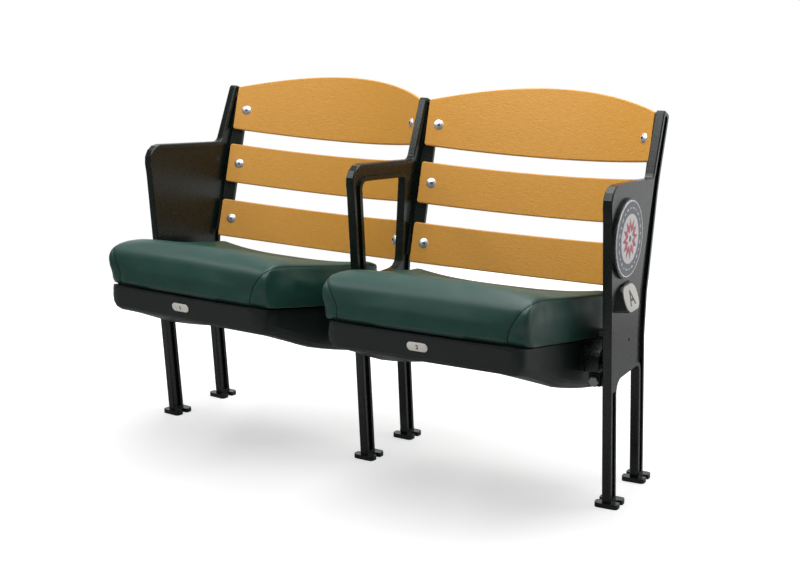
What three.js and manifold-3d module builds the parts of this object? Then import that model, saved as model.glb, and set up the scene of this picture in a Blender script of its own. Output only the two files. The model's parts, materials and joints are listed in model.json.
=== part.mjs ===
// Two stadium seats that share three cast standards, in a row that curves gently round a field.
// Millimetres, +Z up. The seats face -Y, and z = 0 is the floor, under the middle standard's rear foot.
// Each seat has a tip-up pan on two pivots, a loose vinyl cushion on a board, and a back of three bent slats.

import * as THREE from "three";
import { mergeVertices } from "three/addons/utils/BufferGeometryUtils.js";
import Module from "manifold-3d";

const wasm = await Module();
wasm.setup();

const radians = THREE.MathUtils.degToRad;

// Row: the standards stand on an arc, and each seat is turned half a step from its standards
const standardPitch = 559;
const halfStep = radians(1.92);
const clearance = 0.3;
const overrun = 5;
const weldDistance = 0.001;
const arcStep = radians(31);

// Standard, drawn in its own plane: y rearward from the corner of arm and stile, z up
const standardWidth = 19;
const webThickness = 7;
const flangeThickness = 9;
const edgeRound = 2;
const legDepth = 33;
const legLean = radians(3.7);
const armReach = 246;
const noseSetback = 47;
const frontLegFoot = noseSetback - armReach;
const rearLegFoot = -34;
const kneeHeight = 365;
const kneeRadius = 300;
const lowerRecline = radians(13.1);
const armHeight = 641;
const bendDrop = 19;
const bendHeight = armHeight - bendDrop;
const bendRadius = 250;
const stileRecline = radians(23.6);
const stileRise = 133;
const stileTop = armHeight + stileRise;
const stileDepth = 34;
const stileRound = 8;
const armFall = radians(4.7);
const armDepth = 37;
const armFillet = 15;
const noseRadius = 36;
const noseDrop = 71;
const archTop = 262;
const archFrontRadius = 22;
const archRearRadius = 14;
const pocketRadius = 3;

// Window under the arm of the middle standard
const windowBottom = 408;
const windowRear = 33;
const windowRearLean = radians(5.3);
const windowLowRadius = 25;
const windowFrontRadius = 15;
const windowRearRadius = 5;

// Feet
const footWidth = 50;
const footLength = 52;
const footThickness = 8;
const footRadius = 8;
const footSlotWidth = 12;
const footSlotDepth = 14;
const frontFootShift = 4;

// Smooth panel on the aisle side of the end standard
const panelRear = -70;
const panelBend = 400;
const panelBendRadius = 150;
const panelTopRear = 9;
const panelFoot = 18;

// Medallion on its raised seat
const medallionY = -155;
const medallionDrop = 95;
const medallionZ = armHeight - medallionDrop;
const medallionRadius = 75.5;
const medallionThickness = 1.6;
const medallionSeatRadius = 79.5;
const medallionSeatHeight = 6;
const medallionSides = 48;

// Aisle light with the row letter on its sloping face, on a foot that widens downwards
const lightY = medallionY;
const lightDrop = 117;
const lightZ = medallionZ - lightDrop;
const lightLength = 78;
const lightHeight = 58;
const lightRadius = 24;
const lightTilt = radians(18);
const lightFootHalfLow = 63;
const lightFootHalfTop = 31;
const lightFootLow = -20;
const lightFootRadius = 6;
const lightFootTopRadius = 18;
const lightProud = 14;
const letterInset = 3;
const letterThickness = 1.5;
const letterRecess = 0.8;
const lensLength = 44;
const lensWidth = 9;
const lensThickness = 4;
const lensRecess = 7;
const lensDrop = 22.5;

// Trim hole in the panel, between the arch and the light
const trimHoleRadius = 3.5;
const trimHoleDepth = 4;
const trimHoleY = -119;
const trimHoleUpShare = 0.515;
const trimHoleZ = archTop + trimHoleUpShare * (lightZ - lightHeight / 2 - archTop);

// Back: three slats bent round one cylinder, bolted to ears at the rear edge of each standard
const backY = -11;
const backZ = 457;
const backRecline = radians(15.4);
const slatRadius = 455;
const slatEndGap = 16.5;
const slatHalfLength = standardPitch / 2 - slatEndGap;
const slatThickness = 13;
const slatEdge = 3;
const slatCorner = 9;
const slatCornerSteps = 3;
const slatSteps = 12;
const slatBoltInset = 22;
const slatBoltX = slatHalfLength - slatBoltInset;
const slatBoltRows = { bottom: 0, middle: 135, top: 266 };
const slatEdges = { bottom: [-45, 45], middle: [88, 181], top: [217, 320] };
const topSlatRise = 51;
const domeRadius = 11;
const domeHeight = 4;
const domeSides = 12;
const domeSteps = 2;
const slatBoltRadius = 4;
const slatBoltLength = 28;

// Ears
const wingThickness = 6;
const wingOverlap = 12;
const wingReach = slatHalfLength - wingOverlap;
const wingSink = 1.5;
const wingRoot = standardPitch / 2 + wingSink;
const wingBottom = -30;
const wingTop = 296;
const wingSteps = 3;
const earOverhang = 17;
const earReach = slatBoltX - earOverhang;
const earHeight = 38;
const earRadius = 14;
const earBossRadius = 10;
const earBossHeight = 8;

// Seat plane: s runs back from the front edge of the pan, t up square to it
const panFrontY = -453;
const panFrontZ = 384.6;
const seatSlope = radians(10.4);
const panLength = 412;
const panSideGap = 61.5;
const panHalfWidth = standardPitch / 2 - panSideGap;
const panCorner = 33;
const panDepth = 108;
const panWall = 4;
const panBellyRadius = 24;
const panRimWidth = 14;
const panFrontRun = 15;
const panFrontDrop = 46;
const panLip = 4;
const panCornerSteps = 3;
const panRoundShare = 0.9;
const panFrontShares = [0, 0.12, 0.35, 0.7, 1];
// Depth of the pan behind its front face, at its sides: share of its length, share of its depth
const panBellyShares = [
  [0.048, 0.472],
  [0.066, 0.5],
  [0.146, 0.55],
  [0.218, 0.606],
  [0.291, 0.671],
  [0.388, 0.755],
  [0.485, 0.829],
  [0.607, 0.889],
  [0.728, 0.935],
  [0.85, 0.972],
  [1, 1],
];
// Between its sides the underside rises to a shallow valley
const panValleyDepthShare = 0.5;
const panValleyShare = 0.8;
const panValleySteps = 6;

// Board and cushion
const boardInset = 8;
const boardThickness = 3;
const boardCorner = 26;
const cushionOverhang = 10;
const cushionHalfWidth = panHalfWidth + cushionOverhang;
const cushionSetback = 2;
const cushionLength = panLength - cushionSetback;
const cushionHeight = 113;
const cushionEdge = 9;
const cushionTuck = 7;
const cushionCrownShare = 2.4;
const cushionSteps = 12;
const gussetShare = 0.74;
// Outline of the cushion seen from its side: share of its length, share of its height, front bottom first
const cushionSideShares = [
  [0.02, 0],
  [0.015, 0.2],
  [0.035, 0.45],
  [0.08, 0.66],
  [0.15, gussetShare],
  [0.3, gussetShare],
  [0.52, 0.73],
  [0.75, 0.72],
  [0.9, 0.7],
  [0.975, 0.55],
  [1, 0.25],
  [0.985, 0],
  [0.5, 0],
];
const cushionCentreShares = [
  [0.02, 0],
  [-0.01, 0.24],
  [-0.002, 0.62],
  [0.065, 0.92],
  [0.17, 1],
  [0.32, 0.95],
  [0.52, 0.81],
  [0.75, 0.73],
  [0.9, 0.7],
  [0.975, 0.55],
  [1, 0.25],
  [0.985, 0],
  [0.5, 0],
];

// Number plate on the front of the pan
const numberPlateX = -6;
const numberPlateLength = 45;
const numberPlateHeight = 18;
const numberPlateRadius = 8.6;
const numberPlateThickness = 1.2;
const numberPlateDownShare = 0.48;

// Hinge: q runs from the middle plane of a standard towards the seat
const pivotY = -115;
const pivotZ = 325;
const tipUp = radians(78);
const pinRadius = 8;
const pinSides = 16;
const pinRoot = 5.3;
const bossRadius = 26;
const bossFace = 19;
const washerThickness = 2;
const washerRadius = 17;
const bushWall = 3;
const armFace = 21.8;
const armBodyEnd = 50;
const armPlateEnd = 61.2;
const armEyeRadius = 22;
const armBoreDepth = 24.5;
const armFront = -190;
const armNoseRadius = 22;
const armPlateSetback = 7;
const armPlateFront = 266;
const armPlateRear = panLength - armPlateSetback;
const armPlateDeep = 60;
const armPlateTop = 4;
const armPlateRadius = 12;
const armPlateEase = 0.2;
const armCorner = 6;
const tailTopRun = 6;
const tailRise = 24;
const dowelRadius = 5;
const dowelReach = 3.5;
const fixingInset = 20;
const dowelS = armPlateRear - fixingInset;
const dowelT = -35;
const armBoltS = armPlateFront + fixingInset;
const armBoltT = -34;
const armBoltRadius = 5;
const armBoltHead = 9;
const armBoltHeadHeight = 5;
const armBoltReach = 12;

// Stop: a lug on the standard with a rubber saddle that the arm lands on, down and up
const lugRear = -160;
const lugDepth = 18;
const lugTop = 266;
const lugHeight = 21;
const lugReach = 44;
const lugRadius = 3;
const saddleTop = 7.7;
const saddleFront = 5;
const saddleRear = 8;
const saddleStart = 20;
const stopGap = 0.5;
const stopBoltQ = 31;
const stopBoltDrop = 9.5;
const stopBoltRadius = 5;
const stopBoltFlat = 9.5;
const stopBoltHead = 8;

// Materials as the photograph shows them
const castIron = new THREE.MeshStandardMaterial({ color: 0x232c28, roughness: 0.42, metalness: 0.3 });
const slatPlastic = new THREE.MeshStandardMaterial({ color: 0xbf8d3f, roughness: 0.45, metalness: 0 });
const vinyl = new THREE.MeshStandardMaterial({ color: 0x24453c, roughness: 0.45, metalness: 0 });
const panPlastic = new THREE.MeshStandardMaterial({ color: 0x1e2723, roughness: 0.5, metalness: 0 });
const plywood = new THREE.MeshStandardMaterial({ color: 0x14100c, roughness: 0.8, metalness: 0 });
const steel = new THREE.MeshStandardMaterial({ color: 0xb9bcba, roughness: 0.3, metalness: 0.9 });
const nylon = new THREE.MeshStandardMaterial({ color: 0xd8d6cc, roughness: 0.5, metalness: 0 });
const rubber = new THREE.MeshStandardMaterial({ color: 0x161616, roughness: 0.9, metalness: 0 });
const plateMetal = new THREE.MeshStandardMaterial({ color: 0xe6e4dc, roughness: 0.4, metalness: 0.4 });
const lensPlastic = new THREE.MeshStandardMaterial({ color: 0xd9e2df, roughness: 0.25, metalness: 0 });

// Turns a closed three.js geometry into a solid that can be joined and cut
function solid(geometry) {
  const bare = geometry.clone();
  bare.deleteAttribute("normal");
  bare.deleteAttribute("uv");
  const merged = mergeVertices(bare, weldDistance);
  return new wasm.Manifold(
    new wasm.Mesh({
      numProp: 3,
      vertProperties: merged.getAttribute("position").array,
      triVerts: Uint32Array.from(merged.index.array),
    }),
  );
}

// Turns a solid back into a three.js geometry with flat shading
function geometryOf(made) {
  const { numProp, vertProperties, triVerts } = made.getMesh();
  const geometry = new THREE.BufferGeometry();
  const positions = new THREE.InterleavedBuffer(vertProperties, numProp);
  geometry.setAttribute("position", new THREE.InterleavedBufferAttribute(positions, 3, 0));
  geometry.setIndex(new THREE.BufferAttribute(triVerts, 1));
  const flat = geometry.toNonIndexed();
  flat.computeVertexNormals();
  return flat;
}

function moved(made, matrix) {
  return solid(geometryOf(made).applyMatrix4(matrix));
}

function piece(name, made, material) {
  const mesh = new THREE.Mesh(geometryOf(made), material);
  mesh.name = name;
  return mesh;
}

// A corner of an outline, with the radius that rounds it
function corner(x, y, radius = 0) {
  return { x, y, radius };
}

function direction(from, to) {
  return new THREE.Vector2(to.x - from.x, to.y - from.y).normalize();
}

// Points of an outline whose corners are rounded by tangent arcs
function rounded(corners) {
  const points = [];
  corners.forEach((at, index) => {
    const before = corners.at(index - 1);
    const after = corners[(index + 1) % corners.length];
    const into = direction(before, at);
    const out = direction(at, after);
    const turn = Math.atan2(into.cross(out), into.dot(out));
    if (at.radius === 0 || turn === 0) {
      points.push(new THREE.Vector2(at.x, at.y));
      return;
    }
    const reach = at.radius * Math.tan(Math.abs(turn) / 2);
    const sign = Math.sign(turn);
    const startX = at.x - into.x * reach;
    const startY = at.y - into.y * reach;
    const centreX = startX - into.y * at.radius * sign;
    const centreY = startY + into.x * at.radius * sign;
    const steps = Math.ceil(Math.abs(turn) / arcStep);
    for (let step = 0; step <= steps; step += 1) {
      const swept = (turn * step) / steps;
      const armX = startX - centreX;
      const armY = startY - centreY;
      points.push(
        new THREE.Vector2(
          centreX + armX * Math.cos(swept) - armY * Math.sin(swept),
          centreY + armX * Math.sin(swept) + armY * Math.cos(swept),
        ),
      );
    }
  });
  return points;
}

// The same outline drawn in by a distance, or out where the distance is negative; it runs anticlockwise
function drawnIn(corners, distance) {
  return corners.map((at, index) => {
    const before = corners.at(index - 1);
    const after = corners[(index + 1) % corners.length];
    const into = direction(before, at);
    const out = direction(at, after);
    const turn = Math.atan2(into.cross(out), into.dot(out));
    const slide = distance * Math.tan(turn / 2);
    const x = at.x - into.y * distance - into.x * slide;
    const y = at.y + into.x * distance - into.y * slide;
    const radius = Math.max(at.radius - distance * Math.sign(turn), pocketRadius);
    return corner(x, y, radius);
  });
}

function boxCorners(left, low, right, high, radius) {
  return [
    corner(left, low, radius),
    corner(right, low, radius),
    corner(right, high, radius),
    corner(left, high, radius),
  ];
}

// Extrudes points of an outline, upright by default, with an optional chamfer round both ends
function extruded(points, depth, chamfer = 0) {
  const geometry = new THREE.ExtrudeGeometry(new THREE.Shape(points), {
    depth: depth - 2 * chamfer,
    bevelEnabled: chamfer > 0,
    bevelThickness: chamfer,
    bevelSize: chamfer,
    bevelOffset: -chamfer,
    bevelSegments: 1,
  });
  return geometry.translate(0, 0, chamfer);
}

// Outlines in the YZ plane, extruded along X between two places
function alongX(points, from, to, chamfer = 0) {
  const basis = new THREE.Matrix4().makeBasis(
    new THREE.Vector3(0, 1, 0),
    new THREE.Vector3(0, 0, 1),
    new THREE.Vector3(1, 0, 0),
  );
  const geometry = extruded(points, Math.abs(to - from), chamfer).applyMatrix4(basis);
  return geometry.translate(Math.min(from, to), 0, 0);
}

// Outlines in the XZ plane, extruded along Y between two places
function alongY(points, from, to) {
  const basis = new THREE.Matrix4().makeBasis(
    new THREE.Vector3(1, 0, 0),
    new THREE.Vector3(0, 0, 1),
    new THREE.Vector3(0, -1, 0),
  );
  return extruded(points, to - from).applyMatrix4(basis).translate(0, to, 0);
}

function circlePoints(x, y, radius, sides) {
  const points = [];
  for (let index = 0; index < sides; index += 1) {
    const angle = (2 * Math.PI * index) / sides;
    points.push(new THREE.Vector2(x + radius * Math.cos(angle), y + radius * Math.sin(angle)));
  }
  return points;
}

function rodX(y, z, radius, from, to, sides = pinSides) {
  return alongX(circlePoints(y, z, radius, sides), from, to);
}

function rodY(radius, from, to, sides = domeSides) {
  return alongY(circlePoints(0, 0, radius, sides), from, to);
}

// Left, low, right and high of a box whose two ends come in either order
function ordered(x0, x1, low, high) {
  return [Math.min(x0, x1), low, Math.max(x0, x1), high];
}

// Closes a stack of rings into a solid; rings run anticlockwise round the way that the stack goes
function loft(rings) {
  const size = rings[0].length;
  const positions = rings.flat().flatMap((point) => [point.x, point.y, point.z]);
  const index = [];
  for (let ring = 0; ring < rings.length - 1; ring += 1) {
    for (let at = 0; at < size; at += 1) {
      const next = (at + 1) % size;
      const a = ring * size + at;
      const b = ring * size + next;
      index.push(a, b, b + size, a, b + size, a + size);
    }
  }
  const caps = [rings[0], rings[rings.length - 1]];
  caps.forEach((ring, end) => {
    const middle = new THREE.Box3().setFromPoints(ring).getCenter(new THREE.Vector3());
    positions.push(middle.x, middle.y, middle.z);
    const hub = rings.length * size + end;
    const base = end * (rings.length - 1) * size;
    for (let at = 0; at < size; at += 1) {
      const next = (at + 1) % size;
      index.push(hub, base + (end ? at : next), base + (end ? next : at));
    }
  });
  const geometry = new THREE.BufferGeometry();
  geometry.setAttribute("position", new THREE.Float32BufferAttribute(positions, 3));
  geometry.setIndex(index);
  return geometry;
}

// Height of a table of [share, share] pairs at one share of its run
function shareAt(shares, run) {
  const next = Math.max(
    shares.findIndex((pair) => pair[0] >= run),
    1,
  );
  const [runBefore, valueBefore] = shares[next - 1];
  const [runAfter, valueAfter] = shares[next];
  return valueBefore + ((valueAfter - valueBefore) * (run - runBefore)) / (runAfter - runBefore);
}

// Places: standards, seats, and the frames that lie in a seat
function rowPlace(step) {
  const place = new THREE.Group();
  const out = (standardPitch * Math.abs(step)) / 2;
  place.position.set(Math.sign(step) * out * Math.cos(halfStep), out * Math.sin(halfStep), 0);
  place.rotation.z = halfStep * step;
  return place;
}

// From a seat's frame to that of the standard beside it; side is the way from standard to seat
function standardFromSeat(side) {
  const turn = new THREE.Matrix4().makeRotationZ(side * halfStep);
  return turn.multiply(new THREE.Matrix4().makeTranslation((side * standardPitch) / 2, 0, 0));
}

function backFrame() {
  const tilt = new THREE.Matrix4().makeRotationX(-backRecline);
  return new THREE.Matrix4().makeTranslation(0, backY, backZ).multiply(tilt);
}

function seatFrame() {
  const tilt = new THREE.Matrix4().makeRotationX(-seatSlope);
  return new THREE.Matrix4().makeTranslation(0, panFrontY, panFrontZ).multiply(tilt);
}

// A point of the seat plane as y and z of the seat's own frame
function onSeatPlane(s, t) {
  const point = new THREE.Vector3(0, s, t).applyMatrix4(seatFrame());
  return corner(point.y, point.z);
}

// A point of the seat's side view, turned about the pivot by an angle
function turnedAboutPivot(y, z, angle) {
  const point = new THREE.Vector2(y, z).rotateAround(new THREE.Vector2(pivotY, pivotZ), angle);
  return corner(point.x, point.y);
}

// Standard
function legFront(z) {
  return frontLegFoot - Math.tan(legLean) * (z - footThickness);
}

function rearLegFront(z) {
  return rearLegFoot - Math.tan(legLean) * (z - footThickness);
}

function armTopAt(y) {
  return armHeight - Math.tan(armFall) * y;
}

function silhouette() {
  const kneeY = rearLegFront(kneeHeight) + legDepth;
  const bendY = kneeY + Math.tan(lowerRecline) * (bendHeight - kneeHeight);
  const topFrontY = Math.tan(stileRecline) * (stileTop - armHeight);
  const topRearY = topFrontY + stileDepth * Math.cos(stileRecline);
  const topRearZ = stileTop - stileDepth * Math.sin(stileRecline);
  const noseTop = armTopAt(-armReach);
  const noseLow = noseTop - noseDrop;
  return [
    corner(rearLegFoot + legDepth, footThickness),
    corner(kneeY, kneeHeight, kneeRadius),
    corner(bendY, bendHeight, bendRadius),
    corner(topRearY, topRearZ, stileRound),
    corner(topFrontY, stileTop, stileRound),
    corner(0, armHeight, armFillet),
    corner(-armReach, noseTop, noseRadius),
    corner(legFront(noseLow), noseLow, noseRadius),
    corner(frontLegFoot, footThickness),
    corner(frontLegFoot + legDepth, footThickness),
    corner(legFront(archTop) + legDepth, archTop, archFrontRadius),
    corner(rearLegFront(archTop), archTop, archRearRadius),
    corner(rearLegFoot, footThickness),
  ];
}

function windowCorners() {
  const topRear = armTopAt(-windowRear) - armDepth;
  const rearDrop = Math.tan(windowRearLean) * (topRear - windowBottom);
  const frontTop = armTopAt(legFront(armHeight) + legDepth) - armDepth;
  return [
    corner(legFront(windowBottom) + legDepth, windowBottom, windowLowRadius),
    corner(-windowRear - rearDrop, windowBottom, windowLowRadius),
    corner(-windowRear, topRear, windowRearRadius),
    corner(legFront(frontTop) + legDepth, frontTop, windowFrontRadius),
  ];
}

function panelOutline() {
  const low = archTop - panelFoot;
  return [
    corner(-2 * armReach, low),
    corner(panelRear, low),
    corner(panelRear, panelBend, panelBendRadius),
    corner(panelTopRear, armHeight),
    corner(-armReach, 2 * armHeight),
  ];
}

function foot(centreY) {
  const slotEnd = footWidth / 2 - footSlotDepth;
  const slotHalf = footSlotWidth / 2;
  const right = footWidth / 2;
  const front = centreY - footLength / 2;
  const rear = centreY + footLength / 2;
  return solid(
    extruded(
      rounded([
        corner(-right, front, footRadius),
        corner(right, front, footRadius),
        corner(right, centreY - slotHalf, pocketRadius),
        corner(slotEnd, centreY - slotHalf, slotHalf),
        corner(slotEnd, centreY + slotHalf, slotHalf),
        corner(right, centreY + slotHalf, pocketRadius),
        corner(right, rear, footRadius),
        corner(-right, rear, footRadius),
        corner(-right, centreY + slotHalf, pocketRadius),
        corner(-slotEnd, centreY + slotHalf, slotHalf),
        corner(-slotEnd, centreY - slotHalf, slotHalf),
        corner(-right, centreY - slotHalf, pocketRadius),
      ]),
      footThickness + edgeRound,
    ),
  );
}

// Distance of the slats' surface behind the bolt line, at a radius and a distance from the seat's middle
function backDepth(radius, x) {
  return Math.sqrt(radius ** 2 - x ** 2) - Math.sqrt(slatRadius ** 2 - slatBoltX ** 2);
}

// Place of a slat bolt: on the slats' front face, with y square to it and rearward
function slatBoltPlace(side, along) {
  const turn = Math.asin(slatBoltX / slatRadius);
  const place = new THREE.Matrix4().makeTranslation(side * slatBoltX, domeHeight, along);
  return place.multiply(new THREE.Matrix4().makeRotationZ(-side * turn));
}

// The curved flange behind the slats, with an ear for each bolt; side is the way from the seat's middle
function slatWing(side) {
  const inner = slatRadius + slatThickness + clearance;
  const outer = inner + wingThickness;
  const section = [];
  const arcs = [
    [inner, 1],
    [outer, -1],
  ];
  arcs.forEach(([radius, way]) => {
    for (let step = 0; step <= wingSteps; step += 1) {
      const along = way > 0 ? step : wingSteps - step;
      const x = earReach + ((wingRoot - earReach) * along) / wingSteps;
      section.push(new THREE.Vector2(side * x, backDepth(radius, x) + domeHeight));
    }
  });
  const tall = extruded(section, wingTop - wingBottom + 2 * earHeight);
  const shell = solid(tall.translate(0, 0, wingBottom - earHeight));
  const deepest = backDepth(outer, earReach) + overrun + domeHeight;
  const lowest = backDepth(inner, wingRoot) - overrun;
  const cut = (near, low, high, radius) => {
    const ends = ordered(side * near, side * (wingRoot + overrun), low, high);
    return solid(alongY(rounded(boxCorners(...ends, radius)), lowest, deepest));
  };
  const strip = cut(wingReach, wingBottom, wingTop, 0);
  const ears = Object.values(slatBoltRows).map((row) => {
    return cut(earReach - overrun, row - earHeight / 2, row + earHeight / 2, earRadius);
  });
  let wing = ears.reduce((sum, ear) => sum.add(ear), strip).intersect(shell);
  Object.values(slatBoltRows).forEach((row) => {
    const seatDepth = slatThickness + clearance;
    const start = seatDepth + wingThickness / 2;
    const boss = rodY(earBossRadius, start, seatDepth + wingThickness + earBossHeight);
    wing = wing.add(solid(boss.applyMatrix4(slatBoltPlace(side, row))));
  });
  Object.values(slatBoltRows).forEach((row) => {
    const bore = rodY(slatBoltRadius + clearance, 0, slatBoltLength + clearance);
    wing = wing.subtract(solid(bore.applyMatrix4(slatBoltPlace(side, row))));
  });
  return wing;
}

// What a standard carries towards a seat: pivot boss, stop lug and the flange for the slats
function joinSeatSide(standard, side) {
  const place = standardFromSeat(side);
  const seatX = (-side * standardPitch) / 2;
  const at = (q) => seatX + side * q;
  const lugFront = lugRear - lugDepth;
  const lugLow = lugTop - lugHeight;
  const lugOutline = rounded(boxCorners(lugFront, lugLow, lugRear, lugTop, lugRadius));
  const inSeat = [
    solid(rodX(pivotY, pivotZ, bossRadius, at(0), at(bossFace))),
    solid(alongX(lugOutline, at(0), at(lugReach))),
    moved(slatWing(-side), backFrame()),
  ];
  let joined = inSeat.reduce((sum, made) => sum.add(moved(made, place)), standard);
  const boltZ = lugTop - stopBoltDrop;
  const boltHole = rodY(stopBoltRadius + clearance, lugFront - overrun, lugRear + overrun);
  const cuts = [
    solid(rodX(pivotY, pivotZ, pinRadius + clearance, at(pinRoot), at(bossFace + overrun))),
    solid(boltHole.translate(at(stopBoltQ), 0, boltZ)),
  ];
  cuts.forEach((made) => {
    joined = joined.subtract(moved(made, place));
  });
  return joined;
}

function standardBody({ open, seatSides, aisleSide }) {
  const outline = silhouette();
  const half = standardWidth / 2;
  const pocketFloor = webThickness / 2;
  const legCentre = legDepth / 2;
  const window = windowCorners();
  let made = solid(alongX(rounded(outline), -half, half, edgeRound));
  [-1, 1].forEach((side) => {
    const pocketPoints = rounded(drawnIn(outline, flangeThickness));
    let pocket = solid(alongX(pocketPoints, side * pocketFloor, side * (half + overrun)));
    if (open) {
      const rim = rounded(drawnIn(window, -flangeThickness));
      pocket = pocket.subtract(solid(alongX(rim, -half - 2 * overrun, half + 2 * overrun)));
    }
    if (side === aisleSide) {
      const panel = alongX(rounded(panelOutline()), -half - 2 * overrun, half + 2 * overrun);
      pocket = pocket.subtract(solid(panel));
    }
    made = made.subtract(pocket);
  });
  if (open) made = made.subtract(solid(alongX(rounded(window), -half - overrun, half + overrun)));
  made = made.add(foot(frontLegFoot + legCentre + frontFootShift));
  made = made.add(foot(rearLegFoot + legCentre));
  seatSides.forEach((side) => {
    made = joinSeatSide(made, side);
  });
  return made;
}

function aisleStandardBody() {
  const face = standardWidth / 2;
  const proud = face + medallionSeatHeight;
  const seat = rodX(medallionY, medallionZ, medallionSeatRadius, 0, proud, medallionSides);
  const hole = rodX(trimHoleY, trimHoleZ, trimHoleRadius, face - trimHoleDepth, face + overrun, domeSides);
  const made = standardBody({ open: false, seatSides: [-1], aisleSide: 1 });
  return made.add(solid(seat)).subtract(solid(hole));
}

// Aisle light: a wedge whose sloping face carries the letter plate, with a lens in its underside
function lightFacePlace() {
  const tilt = new THREE.Matrix4().makeRotationY(-lightTilt);
  const face = standardWidth / 2 + lightProud;
  return new THREE.Matrix4().makeTranslation(face, lightY, lightZ).multiply(tilt);
}

function lightOutline(inset) {
  const length = lightLength / 2 - inset;
  const height = lightHeight / 2 - inset;
  return rounded(boxCorners(-length, -height, length, height, lightRadius - inset));
}

// Foot of the housing on the panel, wide and square below, narrow and round above
function lightFoot() {
  const half = lightFootHalfLow;
  const top = lightHeight / 2;
  const outline = rounded([
    corner(-half, lightFootLow, lightFootRadius),
    corner(half, lightFootLow, lightFootRadius),
    corner(half, top, lightFootTopRadius),
    corner(-half, top, lightFootTopRadius),
  ]);
  return outline.map(({ x, y }) => {
    const up = (y - lightFootLow) / (top - lightFootLow);
    const narrowed = 1 + (lightFootHalfTop / lightFootHalfLow - 1) * up;
    return new THREE.Vector3(standardWidth / 2 + clearance, lightY + x * narrowed, lightZ + y);
  });
}

function lightHousing() {
  const face = lightOutline(0).map(({ x, y }) => new THREE.Vector3(0, x, y).applyMatrix4(lightFacePlace()));
  const recess = alongX(lightOutline(letterInset - clearance), -letterRecess, overrun);
  const cuts = [recess.applyMatrix4(lightFacePlace()), lensBox(clearance, lensThickness)];
  return cuts.reduce((made, cut) => made.subtract(solid(cut)), solid(loft([lightFoot(), face])));
}

function lensBox(grow, below) {
  const halfLength = lensLength / 2 + grow;
  const halfWidth = lensWidth / 2 + grow;
  const centreX = standardWidth / 2 + lensRecess;
  const low = lightZ - lensDrop;
  const points = [
    new THREE.Vector2(-halfWidth, -halfLength),
    new THREE.Vector2(halfWidth, -halfLength),
    new THREE.Vector2(halfWidth, halfLength),
    new THREE.Vector2(-halfWidth, halfLength),
  ];
  const block = extruded(points, lensThickness + grow + below);
  return block.translate(centreX, lightY, low - below);
}

function letterPlate() {
  const depth = clearance - letterRecess;
  const plate = alongX(lightOutline(letterInset), depth, depth + letterThickness);
  return solid(plate.applyMatrix4(lightFacePlace()));
}

function medallion() {
  const face = standardWidth / 2 + medallionSeatHeight + clearance;
  const front = face + medallionThickness;
  return solid(rodX(medallionY, medallionZ, medallionRadius, face, front, medallionSides));
}

// Slats, in the frame of the back: x across, y rearward, z along the recline
function slatTopEdge(row, x) {
  const [, top] = slatEdges[row];
  if (row !== "top") return top;
  const archRadius = (slatHalfLength ** 2 + topSlatRise ** 2) / (2 * topSlatRise);
  return top + topSlatRise - archRadius + Math.sqrt(archRadius ** 2 - x ** 2);
}

// Half of the places along a slat, closer together where its corner is rounded
function slatStations() {
  const stations = [];
  for (let step = 0; step <= slatCornerSteps; step += 1) {
    const angle = (Math.PI * step) / (2 * slatCornerSteps);
    stations.push(slatHalfLength - slatCorner * (1 - Math.cos(angle)));
  }
  const besideBolt = 2 * slatBoltX - stations[slatCornerSteps];
  for (let step = 0; step <= slatSteps / 2; step += 1) {
    stations.push(besideBolt - (2 * besideBolt * step) / slatSteps);
  }
  return stations;
}

function slatRing(row, x) {
  const distance = slatHalfLength - Math.abs(x);
  const short = Math.max(slatCorner - distance, 0);
  const drawn = slatCorner - Math.sqrt(slatCorner ** 2 - short ** 2);
  const low = slatEdges[row][0] + drawn;
  const high = slatTopEdge(row, x) - drawn;
  const back = slatThickness;
  const section = [
    [back, low + slatEdge],
    [back, high - slatEdge],
    [back - slatEdge, high],
    [slatEdge, high],
    [0, high - slatEdge],
    [0, low + slatEdge],
    [slatEdge, low],
    [back - slatEdge, low],
  ];
  return section.map(([depth, along]) => {
    return new THREE.Vector3(x, domeHeight + backDepth(slatRadius + depth, x), along);
  });
}

function slat(row) {
  const half = slatStations();
  const stations = [...half.map((x) => -x), ...half.slice(0, -1).reverse()];
  let made = solid(loft(stations.map((x) => slatRing(row, x))));
  [-1, 1].forEach((side) => {
    const hole = rodY(slatBoltRadius + clearance, -overrun, slatThickness + overrun);
    made = made.subtract(solid(hole.applyMatrix4(slatBoltPlace(side, slatBoltRows[row]))));
  });
  return made;
}

function slatBolt() {
  const dome = [];
  const sphere = (domeRadius ** 2 + domeHeight ** 2) / (2 * domeHeight);
  const spread = Math.asin(domeRadius / sphere);
  for (let step = 0; step <= domeSteps; step += 1) {
    const angle = (spread * step) / domeSteps;
    const y = -clearance - domeHeight + sphere * (1 - Math.cos(angle));
    dome.push(new THREE.Vector2(sphere * Math.sin(angle), y));
  }
  dome[0].x = 0;
  const profile = [
    ...dome,
    new THREE.Vector2(slatBoltRadius, -clearance),
    new THREE.Vector2(slatBoltRadius, slatBoltLength),
    new THREE.Vector2(0, slatBoltLength),
  ];
  return solid(new THREE.LatheGeometry(profile, domeSides));
}

// Pan, in the frame of the seat plane: x across, y back, z up from the top of its rim
function panDepthAt(s) {
  if (s <= panFrontRun) return panLip + ((panFrontDrop - panLip) * Math.max(s, 0)) / panFrontRun;
  const shares = [[panFrontRun / panLength, panFrontDrop / panDepth], ...panBellyShares];
  return panDepth * shareAt(shares, Math.min(s / panLength, 1));
}

function panWidthAt(s) {
  const short = Math.max(panCorner - s, 0);
  return panHalfWidth - panCorner + Math.sqrt(Math.max(panCorner ** 2 - short ** 2, 0));
}

// Height of the valley in the underside, where the sides are this deep
function panValleyAt(s) {
  return panValleyShare * Math.max(panDepthAt(s) - panDepth * panValleyDepthShare, 0);
}

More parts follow.
